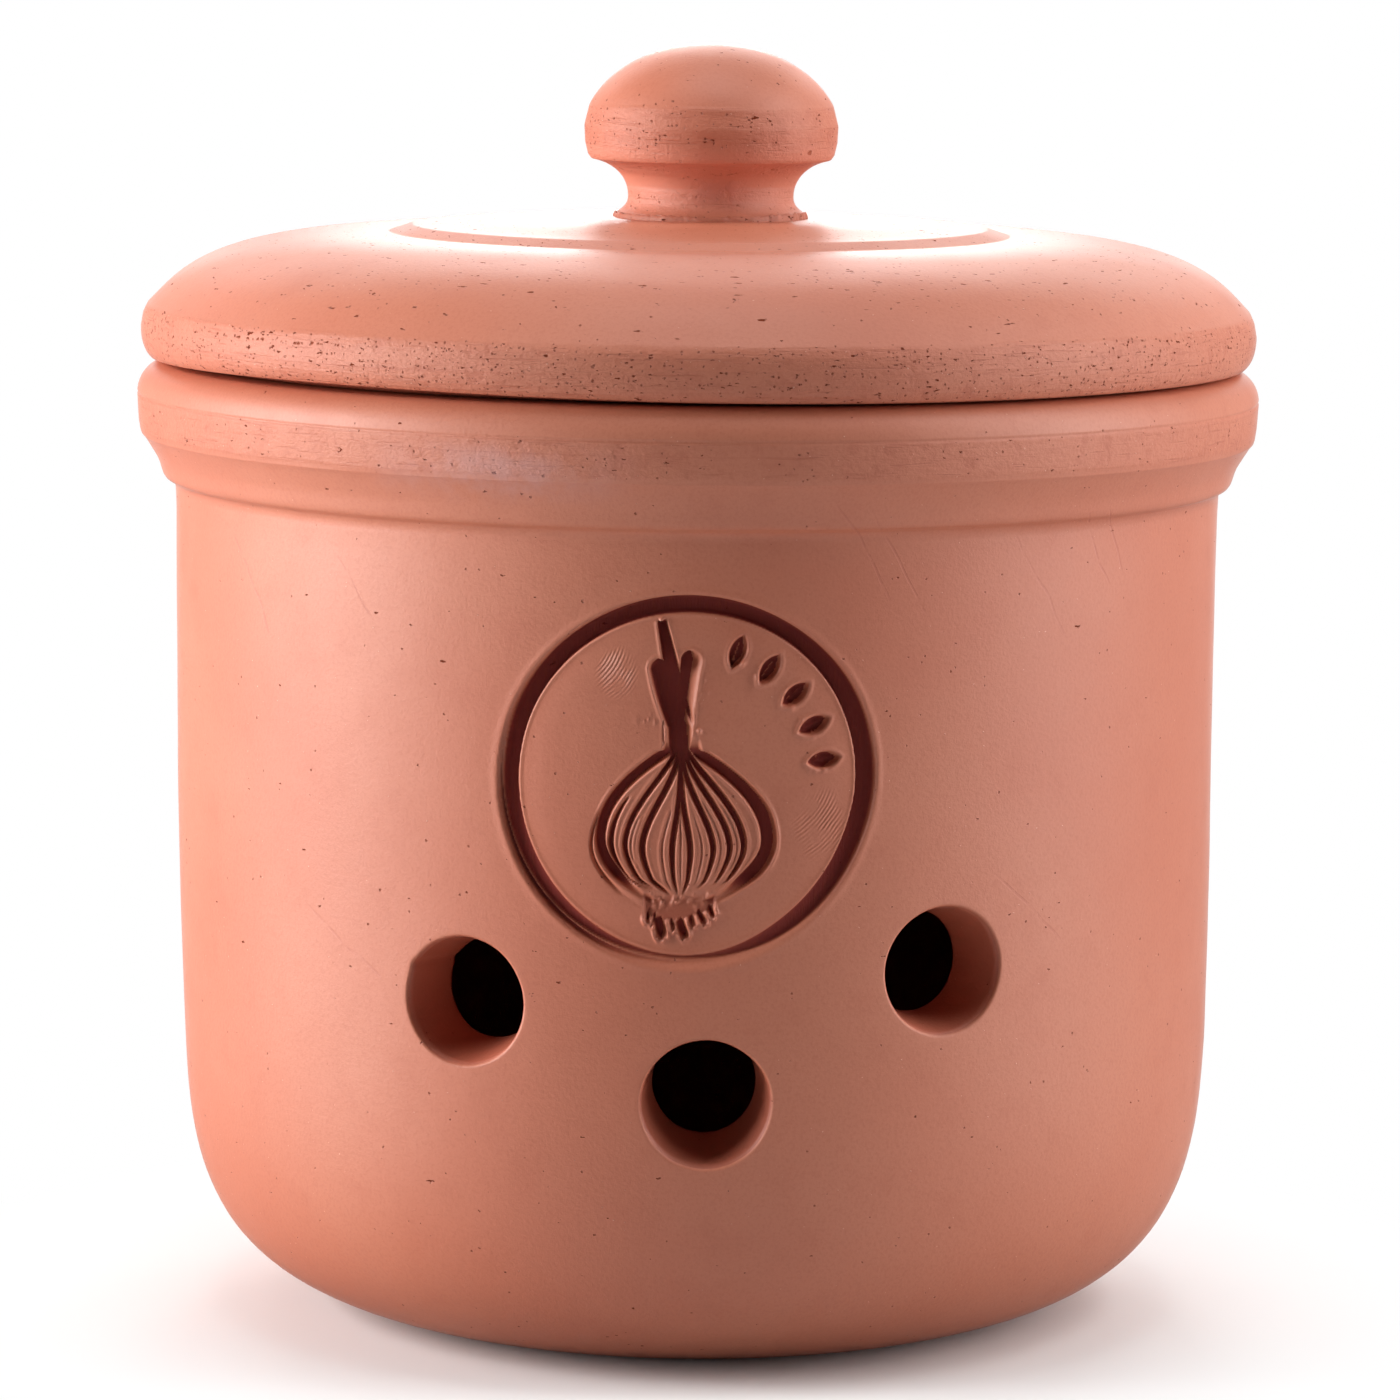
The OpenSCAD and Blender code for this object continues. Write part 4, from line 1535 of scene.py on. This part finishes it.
@dataclass
class Slip:
    """The slip that the knob is stuck on with, squeezed out in a ragged bead."""

    seat_z: float = 179.7
    thick: float = 0.7
    foot_r: float = 15.4
    out: float = 0.25
    skirt: float = 0.4
    sunk: float = 0.3
    off_middle: float = 1.7
    columns: int = 240
    finish: Clay = Clay("slip_clay", body=(0.50, 0.138, 0.074, 1.0), deep=(0.38, 0.09, 0.05, 1.0),
                        band_pits=0.0, plain_pits=0.4, sheen=0.62)

    def build(self) -> bpy.types.Object:
        """Builds the slip.

        Returns:
            The piece.
        """
        z, t = self.seat_z, self.thick
        side = self.foot_r + self.out
        bead = [(side + self.skirt, z - self.sunk), (side + self.skirt - 0.1, z)]
        bead += curve(bead[-1], (side - t / 2, z + t), UPRIGHT, LEVEL, 8)
        bm = turned([(0.0, z - self.sunk), (10.0, z - self.sunk), *bead,
                     (10.0, z + t), (0.0, z + t)], self.columns)
        for vert in bm.verts:
            radius = math.hypot(vert.co.x, vert.co.y)
            if radius > self.foot_r + 0.1:
                around = Vector((vert.co.x, vert.co.y, 0)) / radius
                lump = sum(share * noise.noise(around * lumps)
                           for share, lumps in ((0.45, 6), (0.35, 22), (0.2, 60)))
                ragged = math.exp(-(((around.x - 0.75) / 0.35) ** 2)) * (around.y < 0)
                vert.co += around * (lump * (0.4 + 0.5 * ragged) + 0.3 * ragged)
                vert.co.z += max(0.0, vert.co.z - z) * (
                    0.25 + (0.5 + 0.9 * ragged) * noise.noise(around * 17) + 0.45 * ragged)
            vert.co.x += self.off_middle
        return finish_piece("squeezed_slip", bm, self.finish.material(), "lid_body", "knob_slip")


# Studio


@dataclass(frozen=True)
class SoftBox:
    """A soft studio light that faces the keeper.

    Attributes:
        name: Its name.
        place: Where it stands, in metres.
        size: Width and height, in metres.
        power: Its power in watts.
        aim: What it faces.
    """

    name: str
    place: tuple[float, float, float]
    size: tuple[float, float]
    power: float
    aim: tuple[float, float, float] = (0.0, 0.0, 0.12)

    def build(self) -> None:
        """Sets the light up."""
        lamp = bpy.data.lights.new(self.name, "AREA")
        lamp.shape = "RECTANGLE"
        lamp.size, lamp.size_y = self.size
        lamp.energy = self.power
        holder = bpy.data.objects.new(self.name, lamp)
        holder.location = self.place
        turn = (Vector(self.aim) - Vector(self.place)).to_track_quat("-Z", "Y")
        holder.rotation_euler = turn.to_euler()
        holder.visible_camera = False
        bpy.context.scene.collection.objects.link(holder)


@dataclass
class Studio:
    """A plain pale floor, soft light and the camera at the photograph's angle."""

    camera_back: float = 1.0824
    camera_high: float = 0.2394
    pitch: float = 7.36
    roll: float = 0.613
    lens: float = 169.17
    shift: float = 0.0036
    world_level: float = 0.025
    floor_size: float = 4.0
    floor_near: float = 0.066
    floor_far: float = 0.138
    floor_bounce: float = 0.55
    floor_seen: float = 0.95
    white: Colour = (1.0, 1.0, 1.0, 1.0)
    lights: tuple[SoftBox, ...] = (
        SoftBox("left_side", (-0.886, 0.031, 0.276), (0.30, 0.70), 6.3),
        SoftBox("left_front", (-0.856, -0.229, 0.276), (0.30, 0.70), 8.6),
        SoftBox("right_side", (0.886, 0.031, 0.276), (0.30, 0.70), 2.42),
        SoftBox("right_front", (0.856, -0.229, 0.276), (0.30, 0.70), 4.29),
        SoftBox("right_high", (0.634, -0.055, 0.756), (0.40, 0.40), 2.80),
        SoftBox("top", (0.0, -0.033, 1.069), (0.50, 0.50), 3.53),
        SoftBox("back_low", (0.0, 0.906, 0.543), (0.26, 0.20), 1.75),
        SoftBox("back_high", (0.0, 0.766, 0.763), (0.40, 0.30), 0.85),
        SoftBox("back_left", (-0.366, 0.785, 0.62), (0.30, 0.30), 1.25),
        SoftBox("back_right", (0.366, 0.785, 0.62), (0.30, 0.30), 1.25),
    )

    @staticmethod
    def seen(graph: Graph, side: Socket) -> Socket:
        """Gives 1 where the camera looks, and behind the keeper also in a reflection.

        Args:
            graph: The node tree to add to.
            side: A place or direction, of which Y counts.

        Returns:
            The socket.
        """
        path = graph.node("ShaderNodeLightPath").outputs
        across = graph.node("ShaderNodeSeparateXYZ", {0: side}).outputs[1]
        mirrored = graph.product(path["Is Glossy Ray"], graph.rise(across, 0.45, 0.9))
        return graph.most(path["Is Camera Ray"], mirrored, path["Is Transmission Ray"])

    def floor(self) -> None:
        """Lays the pale floor, which keeps the shadow and turns plain white further off."""
        bm = bmesh.new()
        bmesh.ops.create_grid(bm, x_segments=1, y_segments=1, size=self.floor_size)
        mesh = bpy.data.meshes.new("pale_floor")
        bm.to_mesh(mesh)
        bm.free()
        bench = Bench("pale_floor")
        path = bench.node("ShaderNodeLightPath")
        shade = bench.node("ShaderNodeMapRange", {
            0: path.outputs["Is Camera Ray"], 3: self.floor_bounce, 4: self.floor_seen})
        shader = bench.node("ShaderNodeBsdfPrincipled", {
            "Base Color": shade.outputs[0], "Roughness": 0.9, "Specular IOR Level": 0.0})
        share = bench.product(bench.rise(bench.radius, self.floor_near, self.floor_far),
                              self.seen(bench, bench.place))
        bench.show("ShaderNodeOutputMaterial", share, shader, bench.node("ShaderNodeEmission"))
        mesh.materials.append(bench.material)
        floor = bpy.data.objects.new("pale_floor", mesh)
        bpy.context.scene.collection.objects.link(floor)

    def world(self) -> None:
        """Makes the white surroundings: plain white to the camera, softer as light."""
        world = bpy.data.worlds.new("white_room")
        bpy.context.scene.world = world
        world.use_nodes = True
        graph = Graph(world.node_tree)
        light, plain = (graph.node("ShaderNodeBackground", {"Color": self.white, "Strength": level})
                        for level in (self.world_level, 1.0))
        way = graph.node("ShaderNodeTexCoord").outputs["Generated"]
        graph.show("ShaderNodeOutputWorld", self.seen(graph, way), light, plain)

    def camera(self) -> None:
        """Sets the camera up where the photograph was taken from."""
        lens = bpy.data.cameras.new("camera")
        lens.sensor_width = 36.0
        lens.lens = self.lens
        lens.shift_x = self.shift
        lens.clip_start, lens.clip_end = 0.05, 20.0
        camera = bpy.data.objects.new("camera", lens)
        turn = (Matrix.Rotation(math.radians(90 - self.pitch), 4, "X")
                @ Matrix.Rotation(math.radians(self.roll), 4, "Z"))
        camera.matrix_world = Matrix.Translation((0, -self.camera_back, self.camera_high)) @ turn
        bpy.context.scene.collection.objects.link(camera)
        bpy.context.scene.camera = camera

    def build(self) -> None:
        """Sets up the floor, the world, the lights and the camera."""
        self.floor()
        self.world()
        for light in self.lights:
            light.build()
        self.camera()
        bpy.context.scene.view_settings.view_transform = "Standard"


def main() -> None:
    """Builds the keeper and its studio."""
    logging.basicConfig(level=logging.INFO)
    for part in (Jar(), Lid(), Knob(), Slip()):
        piece = part.build()
        LOG.info("built %s", piece.name)
    Studio().build()


if __name__ == "__main__":
    main()
